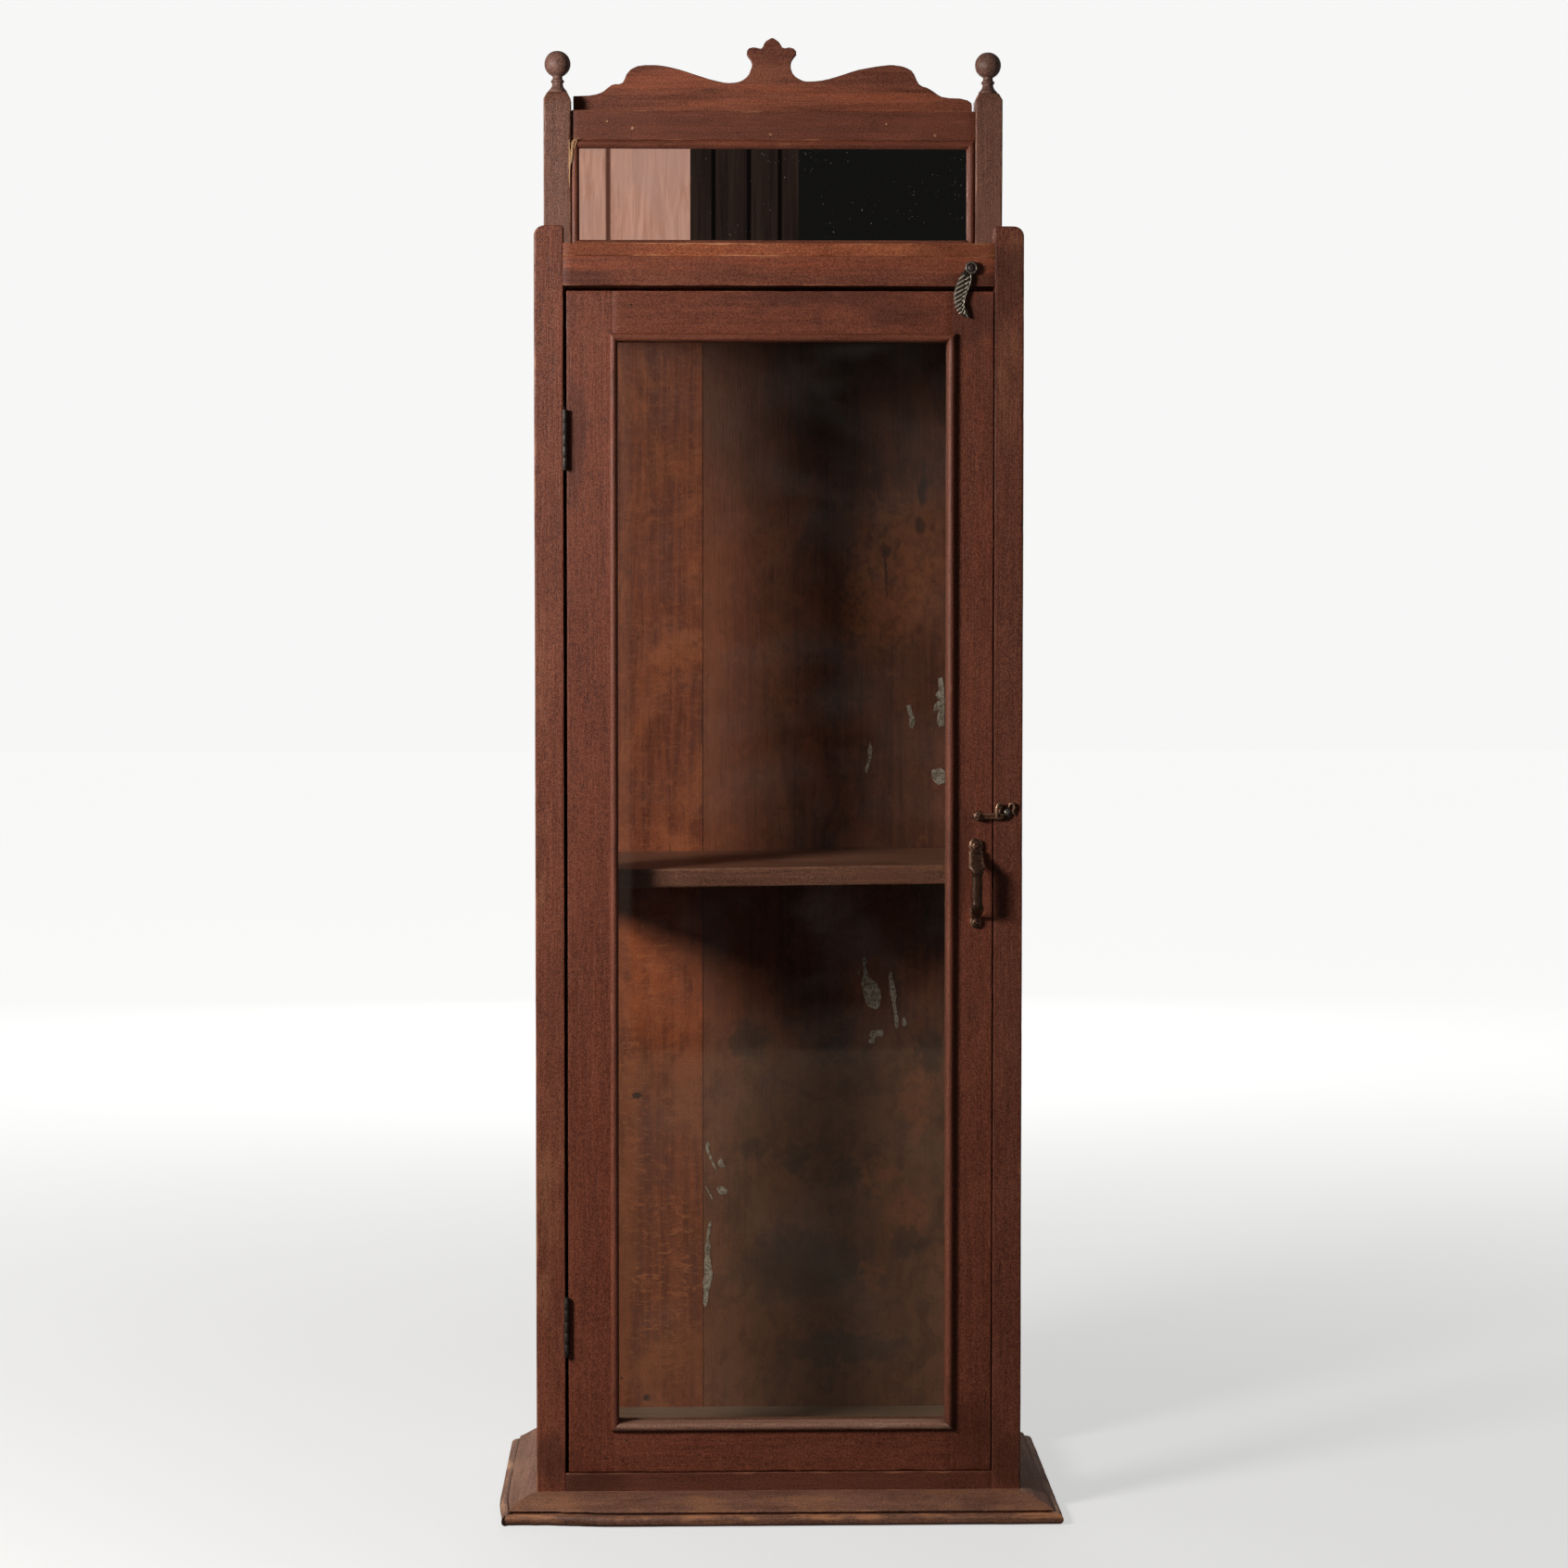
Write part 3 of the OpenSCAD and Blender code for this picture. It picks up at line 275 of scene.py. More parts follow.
def back_wood(name, kind):
    """The back boards: orange and rippled on the narrow board, brown and grimy on the wide one, with painted light and
    shade where light through the glass falls.
    """
    w = Tree(name)
    x, y, z = w.xyz()
    g1 = w.noise(w.mapping((120, 120, 5), (1.0, 0, 0)), 1, 6, 0.64, 1.0)
    g2 = w.noise(w.mapping((560, 560, 24), (3.0, 0, 2)), 1, 5, 0.66, 0.4)
    b1 = w.noise(w.mapping((17, 17, 9), (0.3, 0, 1.7)), 1, 6, 0.64, 0.7)
    b2 = w.noise(w.mapping((44, 44, 34), (2.3, 0, 0.7)), 1, 6, 0.68, 0.5)
    b3 = w.noise(w.mapping((120, 120, 95), (4.3, 0, 5.7)), 1, 5, 0.7, 0.6)
    sp = w.noise(w.mapping((460, 460, 460)), 1, 4, 0.78)
    fl = w.noise(w.mapping((1000, 1000, 1000)), 1, 2, 0.6)
    rip = w.noise(w.mapping((75, 75, 230), (0, 0, 0), (0, 0.45, 0)), 1, 4, 0.6, 1.1)
    if kind == "left":
        dark, mid, light = (0.200, 0.044, 0.016), (0.350, 0.084, 0.029), (0.56, 0.155, 0.048)
    else:
        dark, mid, light = (0.115, 0.036, 0.016), (0.205, 0.064, 0.028), (0.320, 0.098, 0.040)
    col = w.mix(w.ramp(g1, 0.34, 0.66), dark, mid)
    col = w.mix(w.math("MULTIPLY", w.ramp(b1, 0.46, 0.66), 0.65), col, light)
    col = w.mix(w.math("MULTIPLY", w.ramp(g2, 0.46, 0.30), 0.35), col, tuple(c * 0.5 for c in dark))
    col = w.mix(w.math("MULTIPLY", w.ramp(b3, 0.54, 0.68), 0.45), col, light)
    col = w.mix(w.math("MULTIPLY", w.ramp(b3, 0.46, 0.32), 0.45), col, tuple(c * 0.55 for c in dark))
    if kind == "left":
        # painted light: the ripple shows brighter on patches that the light through the side glass reaches, and a
        # painted spot of light lies under the shelf
        lit = spots(w, ((-0.112, 0.455, 0.020, 0.050), (-0.100, 0.16, 0.030, 0.07), (-0.132, 0.30, 0.012, 0.10)), 2.4, 0.012)
        col = w.mix(w.math("MULTIPLY", w.ramp(rip, 0.50, 0.66), w.math("ADD", 0.22, w.math("MULTIPLY", lit, 0.5))), col, (0.60, 0.19, 0.065))
        painted_light_spot = spots(w, ((-0.105, 0.455, 0.040, 0.042),), 4.0, 0.012)
        col = w.mix(w.math("MULTIPLY", painted_light_spot, w.ramp(b2, 0.35, 0.62, 0.10, 0.60)), col, (0.66, 0.150, 0.040))
        # paler and greyer low down, partly grime and partly a painted veil of reflected light
        low = w.ramp(z, 0.40, 0.34, 0.0, 1.0)
        col = w.mix(w.math("MULTIPLY", low, w.ramp(b1, 0.35, 0.65, 0.05, 0.40)), col, (0.26, 0.100, 0.048))
    else:
        # greyer and mossier low down: grime, and also a painted veil of reflected light below the shelf's shadow line;
        # dark blots of grime
        low = w.ramp(z, 0.43, 0.36, 0.0, 1.0)
        col = w.mix(w.math("MULTIPLY", low, 0.34), col, (0.235, 0.115, 0.060))
        col = w.mix(w.math("MULTIPLY", low, w.ramp(b2, 0.42, 0.58, 0.0, 0.55)), col, (0.30, 0.125, 0.055))
        col = w.mix(w.math("MULTIPLY", w.ramp(b2, 0.48, 0.32), 0.45), col, (0.080, 0.038, 0.020))
        col = w.mix(w.math("MULTIPLY", w.ramp(b1, 0.44, 0.30), 0.45), col, (0.075, 0.045, 0.027))
    col = w.mix(w.math("MULTIPLY", w.ramp(sp, 0.62, 0.72), 0.30), col, tuple(min(1, c * 1.9) for c in mid))
    col = w.mix(w.math("MULTIPLY", w.ramp(sp, 0.40, 0.30), 0.55), col, tuple(c * 0.4 for c in dark))
    col = w.mix(w.ramp(fl, 0.30, 0.70, 0.0, 0.35), col, (0, 0, 0))
    if kind == "right":
        # painted light: more orange towards the joint, where light through the side glass falls on the wide board
        pane_light_near_joint = w.math("MULTIPLY", w.ramp(x, -0.065, 0.035, 0.62, 0.0), w.ramp(z, 0.36, 0.46, 0.25, 1.0))
        col = w.mix(w.math("MULTIPLY", pane_light_near_joint, w.ramp(b3, 0.30, 0.70, 0.7, 1.0)), col, (0.300, 0.082, 0.033))
        # painted light: orange patches where light through the door glass falls
        orange = spots(w, ((0.118, 0.830, 0.030, 0.055), (0.088, 0.800, 0.016, 0.040), (0.098, 0.255, 0.012, 0.016), (0.124, 0.222, 0.016, 0.020), (0.090, 0.165, 0.008, 0.012), (0.135, 0.33, 0.010, 0.030)), 3.0, 0.014)
        col = w.mix(w.math("MULTIPLY", orange, w.ramp(b3, 0.34, 0.64, 0.15, 0.70)), col, (0.36, 0.115, 0.040))
        dk = spots(w, ((0.041, 0.970, 0.018, 0.022), (-0.022, 0.385, 0.016, 0.014), (-0.020, 0.285, 0.010, 0.008), (0.020, 0.278, 0.013, 0.010), (0.068, 0.262, 0.012, 0.010),
                       (0.128, 0.196, 0.014, 0.012), (0.024, 0.172, 0.045, 0.026), (0.060, 0.380, 0.010, 0.008), (0.148, 0.375, 0.010, 0.02), (0.07, 0.095, 0.05, 0.012)), 2.6, 0.012)
        col = w.mix(w.math("MULTIPLY", dk, 0.60), col, (0.045, 0.030, 0.020))
        knots = spots(w, ((0.105, 0.844, 0.0035, 0.0050), (0.105, 0.822, 0.0012, 0.018), (0.139, 0.897, 0.0035, 0.011), (0.137, 0.866, 0.004, 0.007)), 2.6, 0.0030)
        col = w.mix(w.math("MULTIPLY", knots, 0.70), col, (0.030, 0.014, 0.009))
    else:
        knots = spots(w, ((-0.1265, 0.3345, 0.0042, 0.0034), (-0.1415, 0.069, 0.0014, 0.0012), (-0.118, 0.050, 0.003, 0.003)), 1.8, 0.0012)
        col = w.mix(w.math("MULTIPLY", knots, 0.9), col, (0.035, 0.018, 0.012))
    if kind == "left":
        col = w.mix(w.math("MULTIPLY", w.ramp(z, 0.56, 0.60, 0.0, 0.16), w.ramp(b2, 0.3, 0.7, 0.6, 1.0)), col, (0.06, 0.016, 0.008))
    # painted shade: the top of the back is darkened, far more on the wide board, standing in for the shadow under the
    # top
    col = w.mix(w.ramp(z, 0.80, 0.98, 0.0, 0.22 if kind == "left" else 0.60), col, (0.02, 0.010, 0.006))
    r = w.ramp(g2, 0.3, 0.7, 0.50, 0.72)
    h = w.math("ADD", w.math("MULTIPLY", g2, 0.6), w.math("MULTIPLY", rip, 0.9 if kind == "left" else 0.3))
    h = w.math("ADD", h, w.math("MULTIPLY", sp, 0.45))
    h = w.math("ADD", h, w.math("MULTIPLY", b3, 0.5))
    p = w.principled(col, r, w.bump(h, 0.6, 0.0010), Specular_IOR_Level=0.35)
    return w.done(p.outputs[0])


back_l = back_wood("back_board_orange", "left")
back_r = back_wood("back_board_brown", "right")


def metal(name, dark, mid, light, metallic, rough, wear=1.0, scale=380.0):
    w = Tree(name)
    a = w.noise(w.mapping((scale,) * 3), 1, 4, 0.65, 0.3)
    b = w.noise(w.mapping((scale * 3.2,) * 3, (4, 1, 2)), 1, 3, 0.6)
    col = w.mix(w.ramp(a, 0.36, 0.62), dark, mid)
    e = w.math("ADD", w.attr("edge"), w.math("MULTIPLY", w.math("SUBTRACT", a, 0.5), 0.9))
    col = w.mix(w.math("MULTIPLY", w.ramp(e, 0.45, 0.95), 0.75 * wear, clamp=True), col, light)
    col = w.mix(w.math("MULTIPLY", w.ramp(b, 0.60, 0.72), 0.3), col, light)
    r = w.ramp(a, 0.3, 0.7, rough + 0.12, rough - 0.08)
    h = w.math("ADD", w.math("MULTIPLY", a, 0.6), w.math("MULTIPLY", b, 0.5))
    p = w.principled(col, r, w.bump(h, 0.5, 0.00035), Metallic=metallic)
    return w.done(p.outputs[0])


iron = metal("iron_dark", (0.030, 0.021, 0.017), (0.060, 0.042, 0.034), (0.17, 0.13, 0.11), 0.55, 0.52)
bronze = metal("bronze_dark", (0.055, 0.026, 0.016), (0.110, 0.052, 0.031), (0.62, 0.36, 0.22), 0.62, 0.36, wear=1.15)
copper = metal("bronze_rubbed", (0.11, 0.048, 0.026), (0.22, 0.10, 0.055), (0.60, 0.34, 0.20), 0.65, 0.38, wear=1.1)
brass = metal("brass_aged", (0.030, 0.022, 0.017), (0.075, 0.058, 0.044), (0.80, 0.68, 0.54), 0.65, 0.38, wear=1.2, scale=620)
steel = metal("screw_steel", (0.10, 0.075, 0.06), (0.26, 0.21, 0.18), (0.75, 0.70, 0.65), 0.8, 0.35, wear=1.0, scale=600)


def pane(name, tint, dust, dustcol):
    """Window glass: clear, mirrored by Fresnel, with a thin film of dust."""
    w = Tree(name)
    a = w.noise(w.mapping((9, 9, 14), (2, 0, 1)), 1, 5, 0.62, 0.4)
    b = w.noise(w.mapping((240, 240, 240)), 1, 3, 0.7)
    tr = w.node("ShaderNodeBsdfTransparent", Color=tint)
    gl = w.node("ShaderNodeBsdfGlossy", Color=(0.9, 0.9, 0.9), Roughness=0.025)
    lw = w.node("ShaderNodeLayerWeight", Blend=0.5)
    fr = w.math("ADD", 0.043, w.math("MULTIPLY", w.math("POWER", lw.outputs["Facing"], 5.0), 0.95), clamp=True)
    m1 = w.node("ShaderNodeMixShader")
    w.put(m1.inputs[0], fr)
    w.put(m1.inputs[1], tr.outputs[0])
    w.put(m1.inputs[2], gl.outputs[0])
    df = w.node("ShaderNodeBsdfDiffuse", Color=dustcol)
    m2 = w.node("ShaderNodeMixShader")
    d = w.math("MULTIPLY", w.ramp(a, 0.35, 0.75), dust)
    d = w.math("ADD", d, w.math("MULTIPLY", w.ramp(b, 0.66, 0.80), dust * 3.0))
    w.put(m2.inputs[0], d)
    w.put(m2.inputs[1], m1.outputs[0])
    w.put(m2.inputs[2], df.outputs[0])
    return w.done(m2.outputs[0])


glass_door = pane("glass_clear", (0.975, 0.975, 0.97), 0.012, (0.75, 0.70, 0.64))
glass_side = pane("glass_side", (0.97, 0.975, 0.965), 0.012, (0.7, 0.68, 0.62))


def mirror_mat():
    w = Tree("mirror_old")
    a = w.noise(w.mapping((22, 22, 30), (1, 0, 4)), 1, 6, 0.7, 0.6)
    b = w.noise(w.mapping((420, 420, 420)), 1, 3, 0.75)
    x, y, z = w.xyz()
    spot = w.math("MULTIPLY", w.ramp(b, 0.66, 0.72), w.ramp(a, 0.46, 0.62))
    col = w.mix(spot, (0.80, 0.785, 0.76), (0.38, 0.33, 0.28))
    met = w.ramp(spot, 0.0, 1.0, 1.0, 0.35)
    r = w.ramp(a, 0.5, 0.8, 0.004, 0.02)
    p = w.principled(col, r, None, Metallic=met)
    return w.done(p.outputs[0])


mirror = mirror_mat()


def chip_mat():
    w = Tree("paint_chips")
    a = w.noise(w.mapping((260, 260, 260)), 1, 4, 0.7)
    b = w.noise(w.mapping((700, 700, 700)), 1, 3, 0.7)
    col = w.mix(w.ramp(a, 0.36, 0.62), (0.22, 0.165, 0.11), (0.50, 0.43, 0.33))
    col = w.mix(w.ramp(b, 0.50, 0.40, 0.0, 0.8), col, (0.10, 0.055, 0.032))
    p = w.principled(col, 0.8, w.bump(a, 0.7, 0.0006))
    return w.done(p.outputs[0])


chips = chip_mat()


# ------------------------------------------------------------------ mesh makers
def make(name, verts, faces, mat, body, nodes=(), edge=None, slot=None, sharp=38.0, raw=False):
    """A mesh from case millimetres (or row metres with raw), riding on a body."""
    me = bpy.data.meshes.new(name)
    me.from_pydata([v if raw else P(*v) for v in verts], [], faces)
    if edge is not None:
        at = me.attributes.new("edge", "FLOAT", "POINT")
        at.data.foreach_set("value", edge)
    bm = bmesh.new()
    bm.from_mesh(me)
    bmesh.ops.recalc_face_normals(bm, faces=bm.faces)
    bm.to_mesh(me)
    bm.free()
    me.shade_smooth()
    me.set_sharp_from_angle(angle=math.radians(sharp))
    me.materials.append(mat)
    ob = bpy.data.objects.new(name, me)
    scene.collection.objects.link(ob)
    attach(ob, body)
    if nodes:
        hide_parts(*nodes)
    return ob


def merge(parts):
    """Joins (verts, faces, edge) lists."""
    V, F, E = [], [], []
    for v, f, e in parts:
        k = len(V)
        V += v
        F += [tuple(i + k for i in q) for q in f]
        E += e if e is not None else [0.0] * len(v)
    return V, F, E


def put_axis(axis, s, u, v):
    return {"X": (s, u, v), "Y": (u, s, v), "Z": (u, v, s)}[axis]


def rings(secs, closed=True):
    """Faces between equal rings, with fans over both ends. secs: lists of (vert, edge)."""
    V, E, F = [], [], []
    n = len(secs[0])
    for sec in secs:
        for v, e in sec:
            V.append(v)
            E.append(e)
    for i in range(len(secs) - 1):
        for j in range(n):
            a, b = i * n + j, i * n + (j + 1) % n
            F.append((a, b, b + n, a + n))
    for i0 in (0, (len(secs) - 1) * n):
        cx = [sum(V[i0 + j][k] for j in range(n)) / n for k in range(3)]
        V.append(tuple(cx))
        E.append(min(E[i0:i0 + n]))
        c = len(V) - 1
        for j in range(n):
            F.append((i0 + j, i0 + (j + 1) % n, c))
    return V, F, E


def worn_bar(axis, s0, s1, rect, r=1.1, wob=0.22, seed=0.0, end_r=(0.8, 0.8), step=7.0, knocks=1.0, rk=(1, 1, 1, 1), more=()):
    """A board with softened, unevenly rubbed arrises. rect(s) gives (u0, u1, v0, v1) in mm."""
    st = []
    e0, e1 = end_r
    for f in (0.0, 0.3, 1.0):
        st.append(s0 + e0 * f)
    n = max(2, int((s1 - s0 - e0 - e1) / step))
    for i in range(1, n):
        st.append(s0 + e0 + (s1 - e1 - s0 - e0) * i / n)
    for f in (1.0, 0.3, 0.0):
        st.append(s1 - e1 * f)
    st = sorted(set([round(v, 4) for v in st] + [round(v, 4) for v in more]))
    secs = []
    for s in st:
        u0, u1, v0, v1 = rect(s)
        ins = 0.0
        endness = 0.0
        for d, er in ((s - s0, e0), (s1 - s, e1)):
            if er > 0 and d < er:
                ins = max(ins, er - math.sqrt(max(0.0, er * er - (er - d) ** 2)))
                endness = max(endness, 1 - d / er)
        u0, u1, v0, v1 = u0 + ins, u1 - ins, v0 + ins, v1 - ins
        # slow bow of each face
        u0 += wob * nz(s / 130, seed + 1.1)
        u1 += wob * nz(s / 110, seed + 2.3)
        v0 += wob * nz(s / 120, seed + 3.7)
        v1 += wob * nz(s / 140, seed + 4.9)
        cs = [(u0, v0, 1, 1, 180), (u1, v0, -1, 1, 270), (u1, v1, -1, -1, 0), (u0, v1, 1, -1, 90)]
        pts = []
        rr = []
        for k in range(4):
            q = r * (0.70 + 0.45 * nz(s / 37, seed + 7.0 * k) + 0.35 * nz(s / 9.0, seed + 3.3 * k))
            kn = max(0.0, nz(s / 14.0, seed + 11.3 * k, 5.5) - 0.36) * 5.0 * knocks
            rr.append(max(0.12, min((q + kn) * rk[k], 0.35 * min(abs(u1 - u0), abs(v1 - v0)))))
        arcs = []
        for k, (cu, cv, su, sv, a0) in enumerate(cs):
            arc = []
            for f in (0.0, 1 / 3, 2 / 3, 1.0):
                a = math.radians(a0 + 90 * f)
                arc.append((cu + su * rr[k] + rr[k] * math.cos(a), cv + sv * rr[k] + rr[k] * math.sin(a), (1.0 if 0 < f < 1 else 0.82) * min(1.0, rk[k] + 0.1)))
            arcs.append(arc)
        for k in range(4):
            pts += arcs[k]
            a, b = arcs[k][-1], arcs[(k + 1) % 4][0]
            L = math.hypot(b[0] - a[0], b[1] - a[1])
            f1, f2 = min(1.6, 0.16 * L) / max(L, 1e-6), min(5.0, 0.34 * L) / max(L, 1e-6)
            nu, nv = ((0, -1), (1, 0), (0, 1), (-1, 0))[k]
            ka, kb = min(1.0, rk[k] + 0.1), min(1.0, rk[(k + 1) % 4] + 0.1)
            for f, ee in ((f1, 0.42 * ka), (f2, 0.08 * ka), (0.5, 0.0), (1 - f2, 0.08 * kb), (1 - f1, 0.42 * kb)):
                uu, vv = a[0] + (b[0] - a[0]) * f, a[1] + (b[1] - a[1]) * f
                w = 0.10 * nz(s / 26, uu / 11 + seed, vv / 11 + k) * (1 if ee < 0.3 else 0.4)
                pts.append((uu + nu * w, vv + nv * w, max(ee, endness * 0.7)))
        secs.append([(put_axis(axis, s, u, v), e) for u, v, e in pts])
    return rings(secs)


def board(name, axis, s0, s1, rect, mat, body, nodes, **kw):
    rf = rect if callable(rect) else (lambda s: rect)
    V, F, E = worn_bar(axis, s0, s1, rf, **kw)
    return make(name, V, F, mat, body, nodes, E)


def lathe(profile, seg=48, squash=None):
    """profile: (radius, height) from one pole to the other, about Z at the origin, mm."""
    secs = []
    for r, h in profile:
        ring = []
        for j in range(seg):
            a = 2 * math.pi * j / seg
            ring.append(((r * math.cos(a), r * math.sin(a), h), 0.35 if r > 0.01 else 0.0))
        secs.append(ring)
    return rings(secs)


def xf(part, fn):
    V, F, E = part
    return [fn(*v) for v in V], F, E


def cad(node, mat, bevel=0.0, segs=2, angle=35):
    o = N[node]
    o.data.materials.clear()
    o.data.materials.append(mat)
    w = o.modifiers.new("weld", "WELD")
    w.merge_threshold = 0.00002
    if bevel:
        b = o.modifiers.new("bevel", "BEVEL")
        b.width = bevel
        b.segments = segs
        b.limit_method = "ANGLE"
        b.angle_limit = math.radians(angle)
        b.harden_normals = True
        b.use_clamp_overlap = True
    return o


# ------------------------------------------------------------------ case woodwork
XO, XI = 211.0, 186.0


def ear(side):
    def rect(s):
        xo = XO
        if s > 1111:
            d = min(9.0, s - 1111)
            xo = XO - 9 + math.sqrt(max(0.0, 81 - d * d))
        return (XI, xo, 0.0, 25.0) if side > 0 else (-xo, -XI, 0.0, 25.0)
    return rect


for side, nm in ((-1, "left"), (1, "right")):
    top_st = [1111 + 9 * math.sin(math.radians(a)) for a in range(0, 86, 6)]
    V, F, E = worn_bar("Z", 0, 1120, ear(side), r=1.5, wob=0.22, seed=20 + side, end_r=(0.5, 0.9), step=6.0, more=top_st, rk=(1, 0.4, 0.4, 1) if side < 0 else (0.4, 1, 1, 0.4), knocks=0.6)
    make("case_front_post_" + nm, V, F, wood_z_painted_lit if side < 0 else wood_z_painted_shade, "case", ("front_post_" + nm,), E)


def gal_post(side):
    def rect(s):
        c = max(0.0, (s - 1259) / 5 * 3.6) if s > 1259 else 0.0
        x0, x1 = (XI, XO) if side > 0 else (-XO, -XI)
        return (x0 + c, x1 - c, 185.0 + c, 209.7 - c)
    return rect


for side, nm in ((-1, "left"), (1, "right")):
    V, F, E = worn_bar("Z", 0, 1264, gal_post(side), r=1.5, wob=0.3, seed=40 + side, end_r=(0.5, 0.9), step=6.0)
    make("case_back_post_" + nm, V, F, wood_gal, "case", ("back_post_" + nm,), E)
    prof = [(0.0, -13.5), (3.9, -13.5), (3.9, -0.2), (8.4, 0.0), (8.8, 0.5), (8.7, 1.4), (8.2, 2.2), (6.9, 3.4), (5.8, 5.0), (5.15, 6.6),
            (5.0, 8.2), (5.1, 8.9), (5.7, 9.2), (6.1, 9.8), (6.2, 10.4), (6.0, 11.1), (5.5, 11.6), (4.8, 12.2), (4.5, 13.4), (4.6, 14.9)]
    R = 12.05
    a0 = math.asin(4.6 / R)
    for i in range(0, 19):
        a = a0 + (math.pi - a0) * i / 18
        prof.append((max(0.0, R * math.sin(a)), 26.4 - R * math.cos(a)))
    part = lathe(prof, 56)
    cx = 198.5 * side
    part = xf(part, lambda x, y, z: (cx + x * (1 + 0.012 * nz(z / 9, side)), 197.5 + y, 1264 + z + 0.25 * nz(x / 8, y / 8, z / 8)))
    make("finial_turned_" + nm, part[0], part[1], wood_ry, "case", ("finial_" + nm,), part[2], sharp=50)

board("case_top_rail", "X", -XI, XI, (0.0, 21.0, 1068.5, 1094.0), wood_x, "case", ("top_front_rail",), r=0.9, seed=3, end_r=(0.4, 0.4))
board("case_bottom_rail", "X", -XI, XI, (0.3, 21.0, 0.0, 38.0), wood_low, "case", ("bottom_front_rail",), r=0.9, seed=5, end_r=(0.4, 0.4))
board("gallery_rail_upper", "X", -XI, XI, (188.0, 201.0, 1220.0, 1246.9), wood_gx, "case", ("gallery_top_rail",), r=0.9, seed=7, end_r=(0.4, 0.4))
board("gallery_rail_lower", "X", -XI, XI, (188.0, 201.0, 1105.0, 1121.0), wood_x, "case", ("gallery_bottom_rail",), r=0.8, seed=8, end_r=(0.4, 0.4))


# the top board lies between the four posts
def top_board():
    o = [(-XI + 0.2, 0.2), (XI - 0.2, 0.2), (XI - 0.2, 25.2), (XO, 25.2), (XO, 184.8), (XI - 0.2, 184.8), (XI - 0.2, 201.8),
         (-XI + 0.2, 201.8), (-XI + 0.2, 184.8), (-XO, 184.8), (-XO, 25.2), (-XI + 0.2, 25.2)]
    return o


def top_front():
    return worn_bar("X", -XI + 0.1, XI - 0.1, lambda s: (-0.2, 202.0, 1094.0, 1105.0), r=1.1, seed=12, end_r=(0.3, 0.3))


V, F, E = top_front()
p2 = worn_bar("Y", 25.2, 184.8, lambda s: (XI - 3, XO, 1094.0, 1105.0), r=1.0, seed=13, end_r=(0.3, 0.3))
p3 = worn_bar("Y", 25.2, 184.8, lambda s: (-XO, -XI + 3, 1094.0, 1105.0), r=1.0, seed=14, end_r=(0.3, 0.3))
make("case_top_board", *merge([(V, F, E)])[:2], wood_top, "case", ("top_board",), merge([(V, F, E)])[2])
for nm, part in (("right", p2), ("left", p3)):
    make("case_top_edge_" + nm, part[0], part[1], wood_top, "case", (), part[2])


def shelf_z(x):
    return 562.5 + 4.5 * (x + 211) / 422


def shelf_rect(s):
    w = 0.5 * nz(s / 60, 4.4)
    return (26.0 + w, 201.9, shelf_z(s) - 16.5, shelf_z(s))


board("case_shelf", "X", -195, 195, shelf_rect, wood_in_x, "case", ("shelf",), r=1.8, wob=0.5, seed=15, end_r=(0.5, 0.5))

# ------------------------------------------------------------------ base moulding
sec = [(0.0, 0.0), (14, 0.0), (29.2, 0.0)]
for a in range(-75, 136, 15):
    sec.append((29.2 + 4.8 * math.cos(math.radians(a)), 4.8 + 4.8 * math.sin(math.radians(a))))
sec += [(24.7, 8.0), (24.0, 8.6), (24.0, 10.3), (25.9, 10.7), (26.0, 11.6), (25.2, 12.5), (22.6, 13.4), (20.2, 14.6), (17.4, 16.1), (14.2, 17.9), (11, 19.5), (8, 20.8), (5.2, 21.6), (3.2, 22.0), (2.2, 22.3), (0.0, 22.3)]
sec_e = [0.0, 0.0, 0.3] + [0.55 + 0.40 * math.cos(math.radians(a - 60)) for a in range(-75, 136, 15)] + [0.0, 0.0, 0.0, 0.2, 0.9, 0.6, 0.3, 0.2, 0.15, 0.15, 0.15, 0.15, 0.2, 0.4, 0.85, 0.4]
assert len(sec) == len(sec_e)


def moulded(length, place, seed, step=7.0):
    """Sweeps the section. place(t, d, h) with t 0 to 1 gives the point in mm."""
    secs = []
    n = max(8, int(length / step))
    for i in range(n + 1):
        t = i / n
        ring = []
        for k, ((d, h), e) in enumerate(zip(sec, sec_e)):
            dd = d + (0.35 * nz(t * length / 40, seed, d / 9) + 0.22 * nz(t * length / 9, seed + 3, d / 5)) * (d / 34)
            hh = h + 0.15 * nz(t * length / 30, seed + 7, d / 9) * (1 if 0 < h < 22 else 0)
            ring.append((place(t, dd, hh), e))
        secs.append(ring)
    return rings(secs)


def front_place(t, d, h):
    x = -(XO + d) + 2 * (XO + d) * t
    w = sstep(-140, -222, x)
    # the left end of the nose is broken away and roughly made good
    cut = 6.0 * w * (d / 34) ** 1.5
    if h < 11 and d > 22:
        cut += 1.1 * sstep(-150, -185, x) * (0.5 + 0.9 * nz(x / 6.0, h / 4.0))
    xx = x + (5.0 * sstep(-225, -245, x)) * (d / 34)
    return (xx, -min(33.6, max(0.0, d - cut)), max(0.0, h))


def side_place(side):
    def place(t, d, h):
        y = -d + (210 + d) * t
        cut = 0.0
        if side < 0:
            cut = 5.0 * sstep(35, -34, y) * (d / 34)
        return (side * (XO + min(33.6, max(0.0, d - cut))), y + (4.0 * sstep(0, -34, y) if side < 0 else 0.0), max(0.0, h))
    return place


V, F, E = moulded(470, front_place, 1.0, 5.0)
make("base_front", V, F, wood_base_x, "case", ("base_moulding_front",), E, sharp=50)
for side, nm in ((-1, "left"), (1, "right")):
    V, F, E = moulded(240, side_place(side), 3.0 + side)
    make("base_" + nm, V, F, wood_base_y, "case", ("base_moulding_" + nm,), E, sharp=50)

